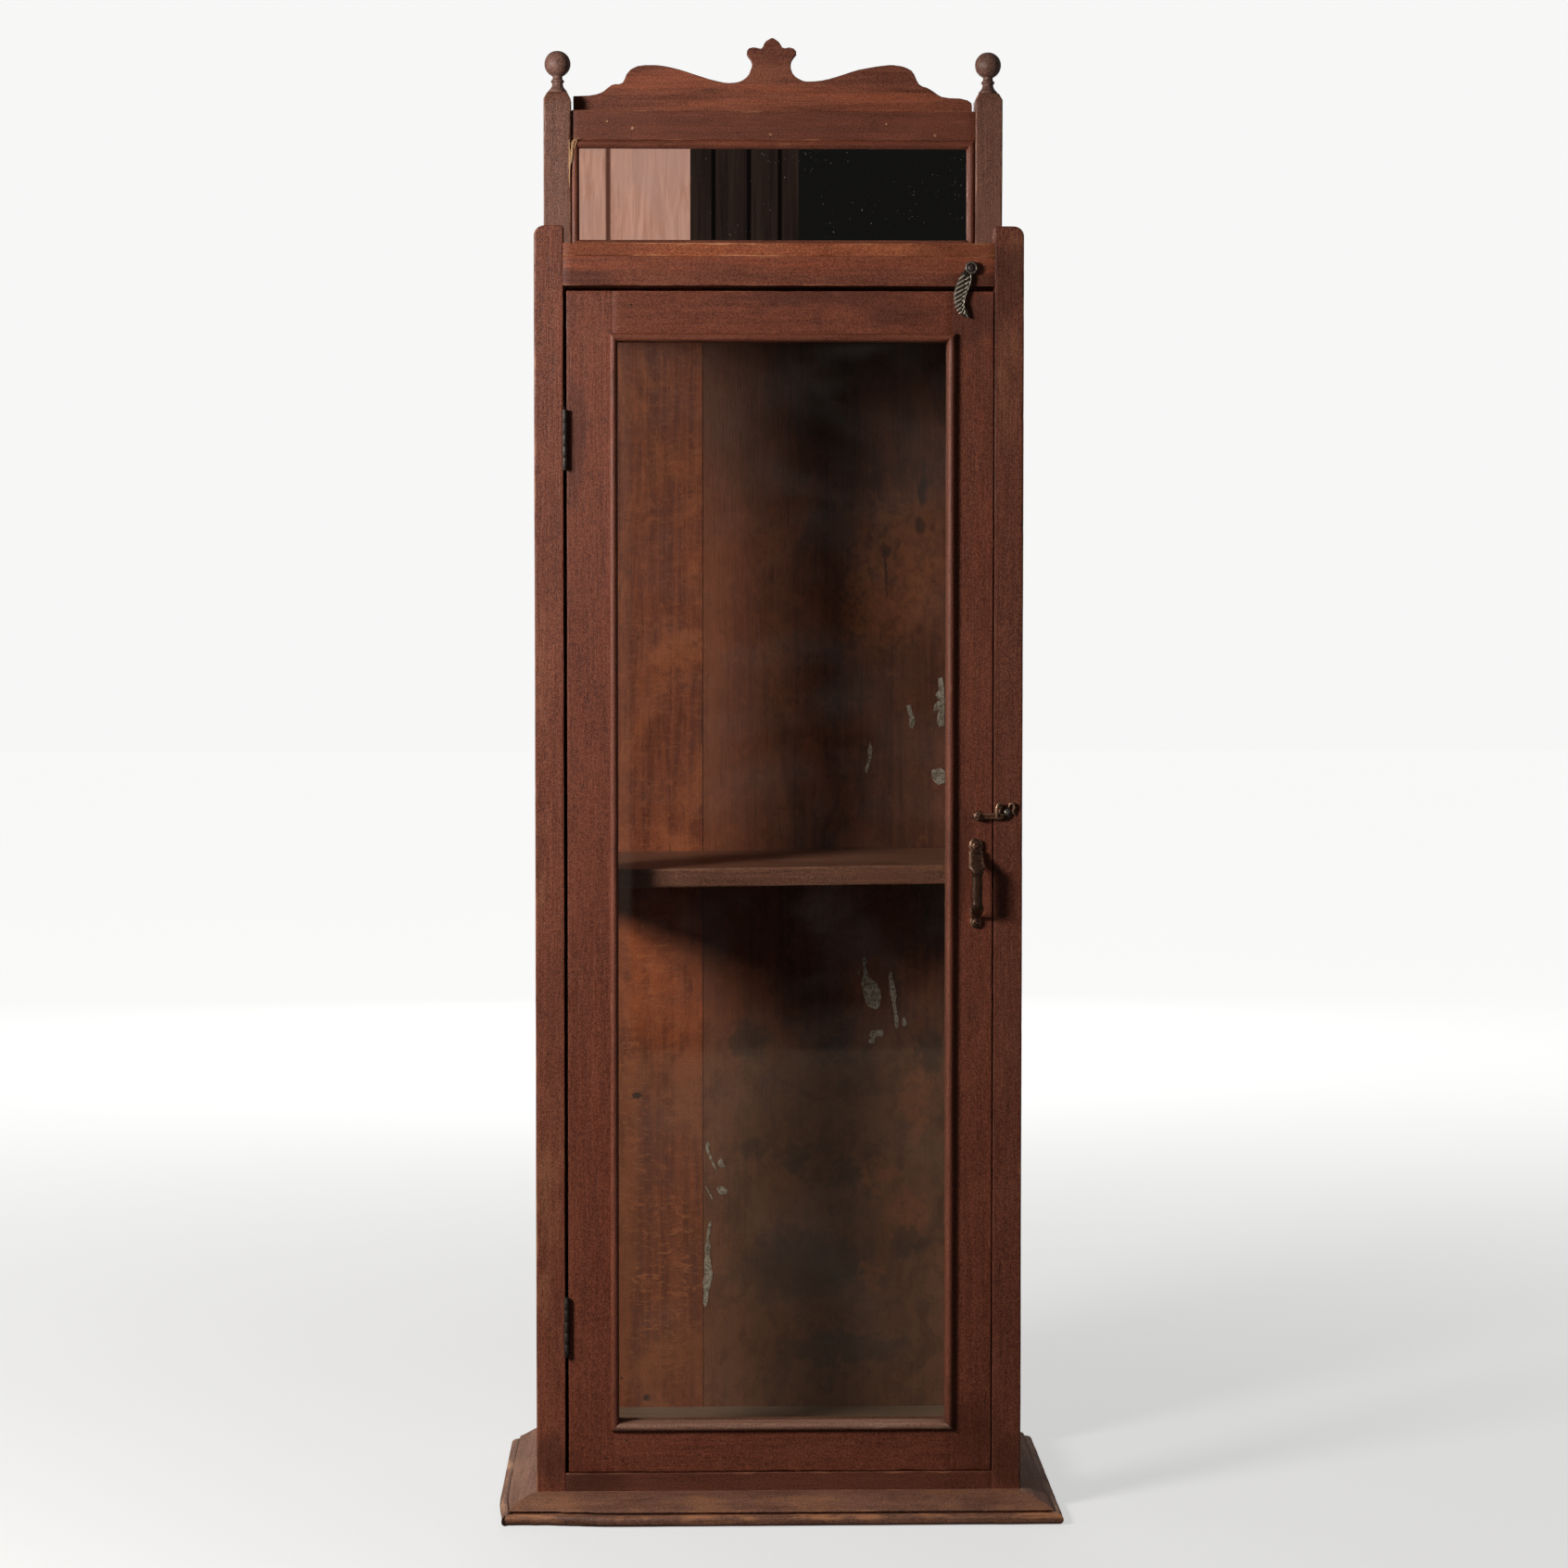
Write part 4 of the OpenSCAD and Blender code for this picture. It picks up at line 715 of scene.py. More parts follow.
# ------------------------------------------------------------------ gallery crest
CREST_PX = [(613.8, 121.0), (613.9, 107), (615.6, 105.2), (622, 104.5), (630, 104.2), (638, 103.9), (646, 102.5), (650, 101.1), (654, 99), (658, 95.5), (662, 92.5), (666, 91.3), (670, 91.4),
            (674, 89.8), (676, 86), (678, 80.8), (682, 75.8), (686, 73.4), (690, 71.6), (698, 70.5), (710, 70.5), (718, 71.5),
            (726, 73.1), (734, 75.1), (742, 77.6), (750, 80.3), (758, 82.9), (766, 85.5), (774, 87.6), (782, 89.3),
            (788, 89.7), (794, 89.2), (798, 88.3), (802, 86.5), (806, 83.4), (808.6, 80), (810, 76), (811.6, 72), (811.8, 68), (810.5, 64.5),
            (808, 61.5), (806.2, 58), (806.5, 54.5), (808.5, 52), (813, 50.8), (818, 51.6), (821.5, 52.6), (823.5, 50),
            (824.6, 47), (827, 43.8), (829.5, 42.4), (832, 40.9), (834, 40.6), (836.5, 42), (840, 44.6), (842.4, 48), (844, 51),
            (847, 51.8), (851.5, 50.8), (856, 52), (858.8, 55), (859, 58.5), (856.6, 61.5), (854.2, 65), (853.2, 69), (853.2, 74), (855, 79),
            (858, 82.6), (862, 85.1), (866, 87.1), (870, 87.8), (878, 87.6), (886, 86.7), (894, 84.9), (902, 82.5),
            (910, 79.9), (918, 77.1), (926, 74.7), (934, 73.2), (942, 71.7), (950, 70.5), (958, 69.6), (962, 69.6), (970, 70.6),
            (974, 71.6), (978, 73.4), (982, 75.6), (985, 80), (987.5, 86), (990, 90.4), (994, 92.9), (998, 93.9), (1002, 96),
            (1006, 98.7), (1010, 101.7), (1014, 103.9), (1022, 105.3), (1034, 105.7), (1042, 107.7), (1046, 110.7),
            (1049, 114.1), (1050, 121)]


def crest():
    """The shaped board over the mirror, cut with a fretsaw and slightly uneven."""
    K = 0.8667
    pts = []
    for u, v in CREST_PX:
        pts.append(((u - 834.0) * K, 1315.9 - (v - 40.6) * 0.845))
    pts = [(max(-184.3, min(184.3, x)), z) for x, z in pts]
    pts[0] = (-184.3, 1222.2)
    pts[-1] = (184.3, 1222.2)
    bm = bmesh.new()
    front = [bm.verts.new(P(x, 201.1, z)) for x, z in pts]
    f = bm.faces.new(front)
    r = bmesh.ops.extrude_face_region(bm, geom=[f])
    for v in r["geom"]:
        if isinstance(v, bmesh.types.BMVert):
            v.co.y += 8.8 * MM
    bmesh.ops.recalc_face_normals(bm, faces=bm.faces)
    me = bpy.data.meshes.new("crest")
    bm.to_mesh(me)
    bm.free()
    ob = bpy.data.objects.new("gallery_crest", me)
    scene.collection.objects.link(ob)
    me.materials.append(wood_crest)
    b = ob.modifiers.new("bevel", "BEVEL")
    b.width = 0.0011
    b.segments = 3
    b.limit_method = "ANGLE"
    b.angle_limit = math.radians(60)
    b.harden_normals = True
    me.shade_smooth()
    me.set_sharp_from_angle(angle=math.radians(50))
    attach(ob, "case")
    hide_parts("crest_board")
    return ob


# painted highlight streaks across the crest's middle and bottom
wood_crest = wood("wood_crest_x", "X", RED_D, (0.26, 0.070, 0.037), (0.36, 0.105, 0.052), RED_W, wear=1.2, broad=0.7, off=31.0,
                  painted_highlights=((0.02, 1.262, 0.06, 0.006), (0.10, 1.256, 0.04, 0.006), (-0.10, 1.275, 0.04, 0.007), (-0.03, 1.254, 0.05, 0.004)))
crest()


# ------------------------------------------------------------------ half-round beads
def nose(width, proj, back, lip, n=9):
    """(projection, distance in from the outer edge) round the bead's section."""
    r = width / 2
    pts = [(0.0, 0.0), (max(0.05, proj - r), 0.0)]
    for i in range(1, n):
        a = math.pi * i / n
        pts.append((proj - r + r * math.sin(a), r - r * math.cos(a)))
    pts += [(max(0.05, proj - r), width), (-back, width), (-back, lip), (0.0, lip)]
    e = [0.2, 0.25] + [0.55] * (n - 1) + [0.3, 0, 0, 0]
    return pts, e


def bead(name, kind, box4, y0, section, mat, body, nodes, seed, shift=(0, 0)):
    """One mitred bead of a frame. box4: x0, x1, z0, z1 of the bead's outer edge, y0 its seat."""
    x0, x1, z0, z1 = box4
    pts, es = section
    length = (x1 - x0) if kind in ("top", "bottom") else (z1 - z0)
    n = int(length / 7)
    secs = []
    for i in range(n + 1):
        t = i / n
        ring = []
        for (p, w), e in zip(pts, es):
            if kind in ("top", "bottom"):
                s = x0 + w + (x1 - x0 - 2 * w) * t
                jit = 0.16 * nz(s / 34, seed) + 0.07 * nz(s / 8, seed + 2)
                z = z0 + w if kind == "bottom" else z1 - w
                ring.append(((s + shift[0], y0 - p - (jit if p > 0.5 else 0), z + shift[1] + (jit * 0.5 if p > 0.5 else 0)), e))
            else:
                s = z0 + w + (z1 - z0 - 2 * w) * t
                jit = 0.16 * nz(s / 34, seed) + 0.07 * nz(s / 8, seed + 2)
                x = x0 + w if kind == "left" else x1 - w
                ring.append(((x + shift[0] + (jit * 0.5 if p > 0.5 else 0), y0 - p - (jit if p > 0.5 else 0), s + shift[1]), e))
        secs.append(ring)
    V, F, E = rings(secs)
    return make(name, V, F, mat, body, nodes, E, sharp=55)


BX = (-146.2, 152.0, 75.3, 1027.7)
dsec = nose(6.8, 4.5, 8.0, 2.2)
for k, m in (("top", wood_x), ("bottom", wood_x), ("left", wood_z), ("right", wood_z)):
    bead("door_bead_" + k, k, BX, 0.0, dsec, wood_bead if k == "bottom" else m, "door", ("glass_bead_" + k,), {"top": 1, "bottom": 2, "left": 3, "right": 4}[k] * 5.1)
msec = nose(7.5, 6.0, 0.0, 0.0)
for k, m in (("top", wood_x), ("bottom", wood_x), ("left", wood_z), ("right", wood_z)):
    bead("mirror_frame_" + k, k, (-186.0, 186.0, 1121.0, 1220.0), 191.0, (msec[0][:-2], msec[1][:-2]), m, "case", ("mirror_bead_" + k,),
         {"top": 1, "bottom": 2, "left": 3, "right": 4}[k] * 7.7)

# ------------------------------------------------------------------ door
board("door_stile_hinge", "Z", 39.0, 1064.0, (-183.0, -144.0, 0.0, 20.0), wood_dz, "door", ("door_stile_left",), r=1.0, wob=0.18, seed=51, end_r=(0.7, 0.7), rk=(0.45, 0.12, 0.12, 0.45), knocks=0.4)
board("door_stile_latch", "Z", 39.0, 1064.0, (149.8, 184.8, 0.0, 20.0), wood_dz, "door", ("door_stile_right",), r=1.0, wob=0.18, seed=53, end_r=(0.7, 0.7), rk=(0.12, 0.45, 0.45, 0.12), knocks=0.4)
board("door_rail_upper", "X", -144.0, 149.8, (0.06, 20.0, 1025.5, 1064.0), wood_dx, "door", ("door_rail_top",), r=0.9, wob=0.10, seed=55, end_r=(0.1, 0.1), rk=(0.15, 0.15, 1, 1))
board("door_rail_lower", "X", -144.0, 149.8, (0.08, 20.0, 39.0, 77.5), wood_dx, "door", ("door_rail_bottom",), r=0.9, wob=0.10, seed=57, end_r=(0.1, 0.1), rk=(1, 1, 0.15, 0.15))


# ------------------------------------------------------------------ metalwork
def dome(r, h, slot=0.0, slot_w=0.7, slot_d=0.6, rim=0.5, seg=56, nr=13):
    """A round screw head at the origin, facing -Y, with a slot turned by slot degrees."""
    V, E, F = [], [], []
    ca, sa = math.cos(math.radians(slot)), math.sin(math.radians(slot))
    prof = [(0.0, 1.0)]
    for i in range(1, nr):
        f = i / (nr - 1)
        prof.append((f, math.sqrt(max(0.0, 1 - 0.86 * f * f))))
    V.append((0.0, -h + (slot_d if slot_w > 0 else 0), 0.0))
    E.append(0.0)
    for f, hh in prof[1:]:
        for j in range(seg):
            a = 2 * math.pi * j / seg
            x, z = r * f * math.cos(a), r * f * math.sin(a)
            d = abs(-x * sa + z * ca)
            y = -h * hh
            if slot_w > 0 and d < slot_w / 2 + 0.02:
                y = min(0.0, y + slot_d)
            V.append((x, y, z))
            E.append(0.35 + 0.5 * (1 if (f > 0.85 or abs(d - slot_w / 2) < 0.25) else 0))
    for j in range(seg):
        F.append((0, 1 + j, 1 + (j + 1) % seg))
    for i in range(nr - 2):
        for j in range(seg):
            a, b = 1 + i * seg + j, 1 + i * seg + (j + 1) % seg
            F.append((a, b, b + seg, a + seg))
    k = len(V)
    for j in range(seg):
        a = 2 * math.pi * j / seg
        V.append((r * math.cos(a), rim, r * math.sin(a)))
        E.append(0.0)
    for j in range(seg):
        a, b = 1 + (nr - 2) * seg + j, 1 + (nr - 2) * seg + (j + 1) % seg
        F.append((a, b, k + (j + 1) % seg, k + j))
    V.append((0.0, rim, 0.0))
    E.append(0.0)
    c = len(V) - 1
    for j in range(seg):
        F.append((k + j, k + (j + 1) % seg, c))
    return V, F, E


def at(part, x, y, z):
    return xf(part, lambda a, b, c: (a + x, b + y, c + z))


def loft_x(sections, x0, n=24, power=2.3):
    """Sections (z, y, half width in X, half thickness) along a path in the YZ plane at x0."""
    secs = []
    m = len(sections)
    for i, (z, y, hw, ht) in enumerate(sections):
        za, ya = sections[max(0, i - 1)][:2]
        zb, yb = sections[min(m - 1, i + 1)][:2]
        L = math.hypot(zb - za, yb - ya) or 1.0
        tz, ty = (zb - za) / L, (yb - ya) / L
        ny, nzz = tz, -ty
        ring = []
        for j in range(n):
            a = 2 * math.pi * j / n
            ca, sa = math.cos(a), math.sin(a)
            px = math.copysign(abs(ca) ** (2 / power), ca) * hw
            pn = math.copysign(abs(sa) ** (2 / power), sa) * ht
            ring.append(((x0 + px, y + ny * pn, z + nzz * pn), 0.25 + 0.6 * abs(ca) * (1 if ht < 3 else 0.4)))
        secs.append(ring)
    return rings(secs)


PULL = [(591.7, -1.0, 0.8, 0.7), (591.2, -1.3, 3.2, 1.2), (589.4, -1.6, 5.2, 1.6), (585.5, -1.8, 6.0, 1.75), (582.8, -1.8, 5.5, 1.75),
        (581.4, -1.9, 4.4, 1.8), (580.7, -2.2, 5.4, 2.1), (580.0, -2.9, 6.2, 2.9), (579.0, -3.4, 6.3, 2.9), (578.2, -3.4, 5.9, 2.0), (576.8, -4.4, 6.1, 1.7),
        (574.5, -6.8, 6.3, 1.6), (571.5, -10.2, 6.5, 1.7), (569.2, -13.0, 6.9, 1.9), (567.4, -14.9, 7.1, 2.3), (566.0, -15.6, 6.2, 3.0),
        (565.2, -15.4, 4.9, 3.8), (564.6, -15.3, 4.5, 4.0), (564.0, -15.2, 5.3, 4.8), (563.3, -15.1, 4.5, 4.2), (562.6, -15.0, 5.2, 4.7), (561.8, -15.0, 4.3, 4.2),
        (559.0, -15.0, 4.3, 4.2), (553.0, -15.0, 4.5, 4.4), (547.0, -15.0, 4.6, 4.5), (541.0, -15.0, 4.4, 4.3), (537.4, -15.0, 4.3, 4.2), (536.4, -15.0, 4.5, 4.4),
        (535.6, -15.0, 5.3, 4.9), (534.8, -15.0, 4.7, 4.3), (533.8, -14.8, 5.3, 3.2), (531.8, -13.4, 5.8, 2.2), (529.0, -10.0, 5.7, 1.8),
        (526.2, -6.0, 5.3, 1.7), (524.2, -3.4, 4.7, 1.8), (522.8, -2.2, 4.2, 1.8), (521.6, -1.9, 4.6, 1.8), (519.3, -1.8, 4.9, 1.8), (516.4, -1.7, 4.3, 1.6),
        (514.9, -1.4, 2.8, 1.2), (514.2, -1.1, 0.8, 0.7)]
V, F, E = loft_x(PULL, 170.4, 28, 2.9)
make("pull_handle", V, F, bronze, "door", ("door_pull",), E, sharp=60)
parts = [at(dome(3.1, 1.9, 25), 170.4, -3.0, 585.5), at(dome(3.0, 1.9, -40), 170.4, -3.0, 519.3), at(dome(3.3, 2.2, 70), 171.8, -5.3, 611.4)]
V, F, E = merge(parts)
make("door_screw_heads", V, F, bronze, "door", ("door_screws",), E, sharp=45)


# the drop latch: a flat bar on a boss, falling into a lipped keeper on the post
def bar_x(secs_in, n=18, power=3.0):
    secs = []
    for x, z, hz, y, hy in secs_in:
        ring = []
        for j in range(n):
            a = 2 * math.pi * j / n
            ca, sa = math.cos(a), math.sin(a)
            ring.append(((x, y + math.copysign(abs(ca) ** (2 / power), ca) * hy, z + math.copysign(abs(sa) ** (2 / power), sa) * hz), 0.3 + 0.6 * abs(sa)))
        secs.append(ring)
    return rings(secs)


BAR = [(168.6, 611.4, 0.6, -3.7, 0.7), (169.0, 611.4, 2.0, -3.7, 1.05), (170.4, 611.4, 3.4, -3.7, 1.15), (172.4, 611.4, 3.6, -3.7, 1.15),
       (174.6, 611.3, 2.9, -3.7, 1.15), (176.5, 611.3, 2.3, -3.7, 1.15), (180.0, 611.3, 2.3, -3.7, 1.15), (184.0, 611.2, 2.35, -3.7, 1.15),
       (188.0, 611.2, 2.4, -3.7, 1.1), (192.0, 611.2, 2.35, -3.7, 1.1), (194.0, 611.2, 1.8, -3.7, 0.9), (194.5, 611.2, 0.8, -3.7, 0.5)]
boss = lathe([(0, 0), (4.2, 0), (4.4, 0.4), (4.0, 2.6), (3.6, 3.2), (2.4, 3.35), (0, 3.2)], 40)
boss = xf(boss, lambda x, y, z: (171.8 + x, -0.5 - z, 611.4 + y))
V, F, E = bar_x(BAR)
make("latch_drop_bar", V, F, copper, "latch_bar", ("latch_bar",), E, sharp=50)
V, F, E = boss
make("latch_pivot_boss", V, F, bronze, "latch_bar", ("latch_bar",), E, sharp=50)



def tube(pts, rads, n=14, flat=1.0):
    """A rod through points (x, y, z) lying mostly in the face plane, rounded at both ends."""
    secs = []
    m = len(pts)
    for i, (x, y, z) in enumerate(pts):
        a, b = pts[max(0, i - 1)], pts[min(m - 1, i + 1)]
        tx, tz = b[0] - a[0], b[2] - a[2]
        L = math.hypot(tx, tz) or 1.0
        tx, tz = tx / L, tz / L
        rr = rads[i]
        secs.append([((x - tz * rr * math.cos(2 * math.pi * j / n), y - flat * rr * math.sin(2 * math.pi * j / n), z + tx * rr * math.cos(2 * math.pi * j / n)),
                      0.8 if math.sin(2 * math.pi * j / n) > 0.5 else 0.25) for j in range(n)])
    return rings(secs)


plate = lathe([(0, 0), (6.0, 0), (6.2, 0.4), (5.9, 1.2), (5.2, 1.6), (0, 1.6)], 40)
plate = xf(plate, lambda x, y, z: (196.4 + x * 1.08, 0.0 - z, 613.9 + y * 0.92))
tongue = tube([(193.4, -1.6, 611.0), (191.6, -2.4, 610.2), (189.8, -3.4, 609.6), (188.2, -4.4, 610.0), (187.9, -5.0, 612.4), (188.0, -5.4, 615.6), (188.3, -5.4, 618.6),
               (189.4, -5.2, 621.4), (191.2, -4.8, 622.8), (192.6, -4.2, 622.6)], [1.0, 1.5, 1.7, 1.7, 1.65, 1.6, 1.6, 1.7, 1.6, 0.8], 14, 0.8)
tab = tube([(193.0, -1.0, 618.0), (191.5, -1.6, 620.0), (190.6, -2.4, 621.8)], [1.6, 1.7, 1.1], 12, 0.6)
curl = tube([(198.6, -1.2, 618.6), (199.6, -1.9, 621.2), (201.4, -2.3, 622.6), (203.2, -2.4, 621.4), (203.6, -2.3, 618.8), (202.6, -2.0, 616.2), (203.0, -1.7, 613.8), (204.6, -1.4, 612.6)],
            [0.9, 1.2, 1.3, 1.3, 1.25, 1.2, 1.1, 0.6], 12, 0.8)
V, F, E = merge([plate, tongue, tab, curl])
make("latch_keeper_hook", V, F, bronze, "case", ("latch_keeper",), E, sharp=50)
V, F, E = at(dome(2.9, 1.9, 15, slot_w=0.6), 197.4, -1.5, 614.4)
make("keeper_screw_head", V, F, steel, "case", ("keeper_screw",), E, sharp=45)

# wing-shaped turn button: a ring, a smooth spine and rows of raised barbs
WING = [(165.5, 1079), (166.4, 1075), (165, 1068.5), (162.5, 1064), (160.3, 1058.5), (159.2, 1052.5), (159.5, 1047), (161.5, 1042.8),
        (163.2, 1040.8), (161.0, 1041.3), (158.5, 1042.5), (155.6, 1044.6), (152.6, 1049), (150.6, 1054.5), (149.9, 1058.5), (150.4, 1064), (152.2, 1070), (155, 1075.8),
        (157, 1080), (160, 1082.5)]


def wing():
    parts = []
    ring = []
    cx = sum(p[0] for p in WING) / len(WING)
    cz = sum(p[1] for p in WING) / len(WING)
    secs = []
    for y, k, e in ((-1.25, 0.97, 0.0), (-1.6, 1.0, 0.1), (-3.0, 1.0, 0.4), (-3.5, 0.93, 0.3), (-3.6, 0.6, 0.0)):
        secs.append([((cx + (x - cx) * k, y, cz + (z - cz) * k), e) for x, z in WING])
    parts.append(rings(secs))

    def ridge(a, b, r0, r1, y0, flat=0.62, n=10, m=7):
        """A tapered raised ridge from a to b, half sunk in the plate."""
        ax, az = a
        bx, bz = b
        L = math.hypot(bx - ax, bz - az)
        tx, tz = (bx - ax) / L, (bz - az) / L
        secs2 = []
        for i in range(m):
            t = i / (m - 1)
            rr = (r0 + (r1 - r0) * t) * math.sqrt(max(0.02, 1 - (2 * abs(t - 0.42)) ** 3.2 * 0.9))
            secs2.append([((ax + tx * L * t - tz * rr * math.cos(2 * math.pi * j / n), y0 - flat * rr * math.sin(2 * math.pi * j / n) * 1.5,
                            az + tz * L * t + tx * rr * math.cos(2 * math.pi * j / n)), 0.9 if math.sin(2 * math.pi * j / n) > 0.3 else 0.2) for j in range(n)])
        return rings(secs2)

    # long outer barbs, from the middle ridge down to the left edge
    outer = [((159.2, 1077.6), (154.9, 1074.3)), ((159.3, 1073.6), (153.2, 1070.0)), ((158.9, 1069.4), (151.8, 1065.9)), ((158.3, 1065.3), (150.9, 1061.7)),
             ((157.6, 1061.3), (150.5, 1057.6)), ((156.9, 1057.4), (150.9, 1053.9)), ((156.6, 1053.6), (151.9, 1050.4)), ((156.8, 1050.0), (153.3, 1047.4)), ((157.8, 1046.8), (155.2, 1044.9))]
    for a, b in outer:
        b = (b[0] - 0.75, b[1] - 0.55)
        parts.append(ridge(a, b, 0.95, 0.6, -3.4))
    inner = [((163.6, 1076.2), (159.9, 1073.6)), ((163.2, 1072.2), (159.7, 1069.6)), ((162.4, 1068.2), (159.2, 1065.7)), ((161.4, 1064.4), (158.5, 1062.1)),
             ((160.2, 1060.5), (157.7, 1058.5)), ((159.3, 1056.8), (157.2, 1054.9)), ((158.9, 1053.0), (157.0, 1051.2)), ((159.0, 1049.2), (157.4, 1047.6)), ((160.0, 1045.7), (158.4, 1044.3))]
    for a, b in inner:
        parts.append(ridge(a, b, 0.85, 0.6, -3.7))
    # the smooth spine down the right edge
    sp = [(164.6, 1078.4), (165.0, 1074.6), (163.9, 1069.2), (161.9, 1064.4), (159.9, 1058.8), (158.9, 1052.8), (159.2, 1047.3), (161.2, 1043.0), (162.6, 1041.3)]
    for a, b in zip(sp, sp[1:]):
        k = ridge(a, (b[0] + (b[0] - a[0]) * 0.25, b[1] + (b[1] - a[1]) * 0.25), 0.72, 0.68, -3.3)
        parts.append((k[0], k[1], [e * 0.75 for e in k[2]]))
    # ring round the pivot screw
    ringp = []
    for y, r in ((-0.9, 2.2), (-0.9, 5.3), (-1.4, 5.6), (-3.8, 5.6), (-4.4, 5.2), (-4.7, 4.6), (-4.5, 3.9), (-4.0, 3.5), (-3.2, 3.3), (-3.2, 1.7)):
        ringp.append((r, y))
    secs3 = []
    for r, y in ringp:
        secs3.append([((165.2 + r * math.cos(2 * math.pi * j / 40), y, 1083.9 + r * math.sin(2 * math.pi * j / 40)), 0.6 if -4.8 < y < -4.3 else 0.2) for j in range(40)])
    n = 40
    V, E, F = [], [], []
    for s_ in secs3:
        for v, e in s_:
            V.append(v)
            E.append(e)
    for i in range(len(secs3)):
        i2 = (i + 1) % len(secs3)
        for j in range(n):
            F.append((i * n + j, i * n + (j + 1) % n, i2 * n + (j + 1) % n, i2 * n + j))
    parts.append((V, F, E))
    return merge(parts)


V, F, E = wing()
make("turn_button_wing", V, F, brass, "turn_button", ("turn_button",), E, sharp=55)
V, F, E = at(dome(2.9, 1.3, 60), 165.2, -3.6, 1083.9)
make("turn_button_screw_head", V, F, iron, "case", ("turn_button_screw",), E, sharp=45)

for n_ in ("hinge_upper_case_leaf", "hinge_lower_case_leaf", "hinge_upper_door_leaf", "hinge_lower_door_leaf"):
    cad(n_, iron, 0.0003, 2)
for n_ in ("hinge_pins", "case_hinge_screws", "door_hinge_screws", "case_nails", "crest_screws"):
    cad(n_, iron)

# ------------------------------------------------------------------ kept CAD pieces
for s_ in ("left", "right"):
    for tb in ("top", "bottom"):
        cad(f"side_rail_{tb}_{s_}", wood_y, 0.0008, 2)
    cad("side_glass_" + s_, glass_side)
    cad("shelf_cleat_" + s_, wood_y, 0.0008, 2)
cad("back_board_left", back_l)
cad("back_board_right", back_r)
# painted shade: a near-black strip set in the joint between the back boards
V, F, E = worn_bar("Z", 22.5, 1104.5, lambda s: (-67.0, -63.0, 203.4, 208.0), r=0.4, seed=71, end_r=(0.3, 0.3), step=20)
make("back_joint_shadow_strip", V, F, wood_gap_shadow, "case", (), E)


def jag(poly, step, amp, seed):
    out = []
    m = len(poly)
    for i in range(m):
        a, b = poly[i], poly[(i + 1) % m]
        L = math.hypot(b[0] - a[0], b[1] - a[1])
        k = max(1, int(L / step))
        for q in range(k):
            t = q / k
            x, z = a[0] + (b[0] - a[0]) * t, a[1] + (b[1] - a[1]) * t
            out.append((x + amp * nz(x * 1.9, z * 1.9, seed), z + amp * nz(x * 1.9, z * 1.9, seed + 7.7)))
    return out


def flake(poly, y0, y1, step=1.1, amp=0.55, seed=0.0):
    """A thin flake of old white paint lying on the boards."""
    q = jag(poly, step, amp, seed)
    m = len(q)
    V = [(x, y0, z) for x, z in q] + [(x, y1, z) for x, z in q]
    F = [tuple(range(m)), tuple(range(2 * m - 1, m - 1, -1))]
    for i in range(m):
        F.append((i, (i + 1) % m, m + (i + 1) % m, m + i))
    return V, F, [0.0] * (2 * m)


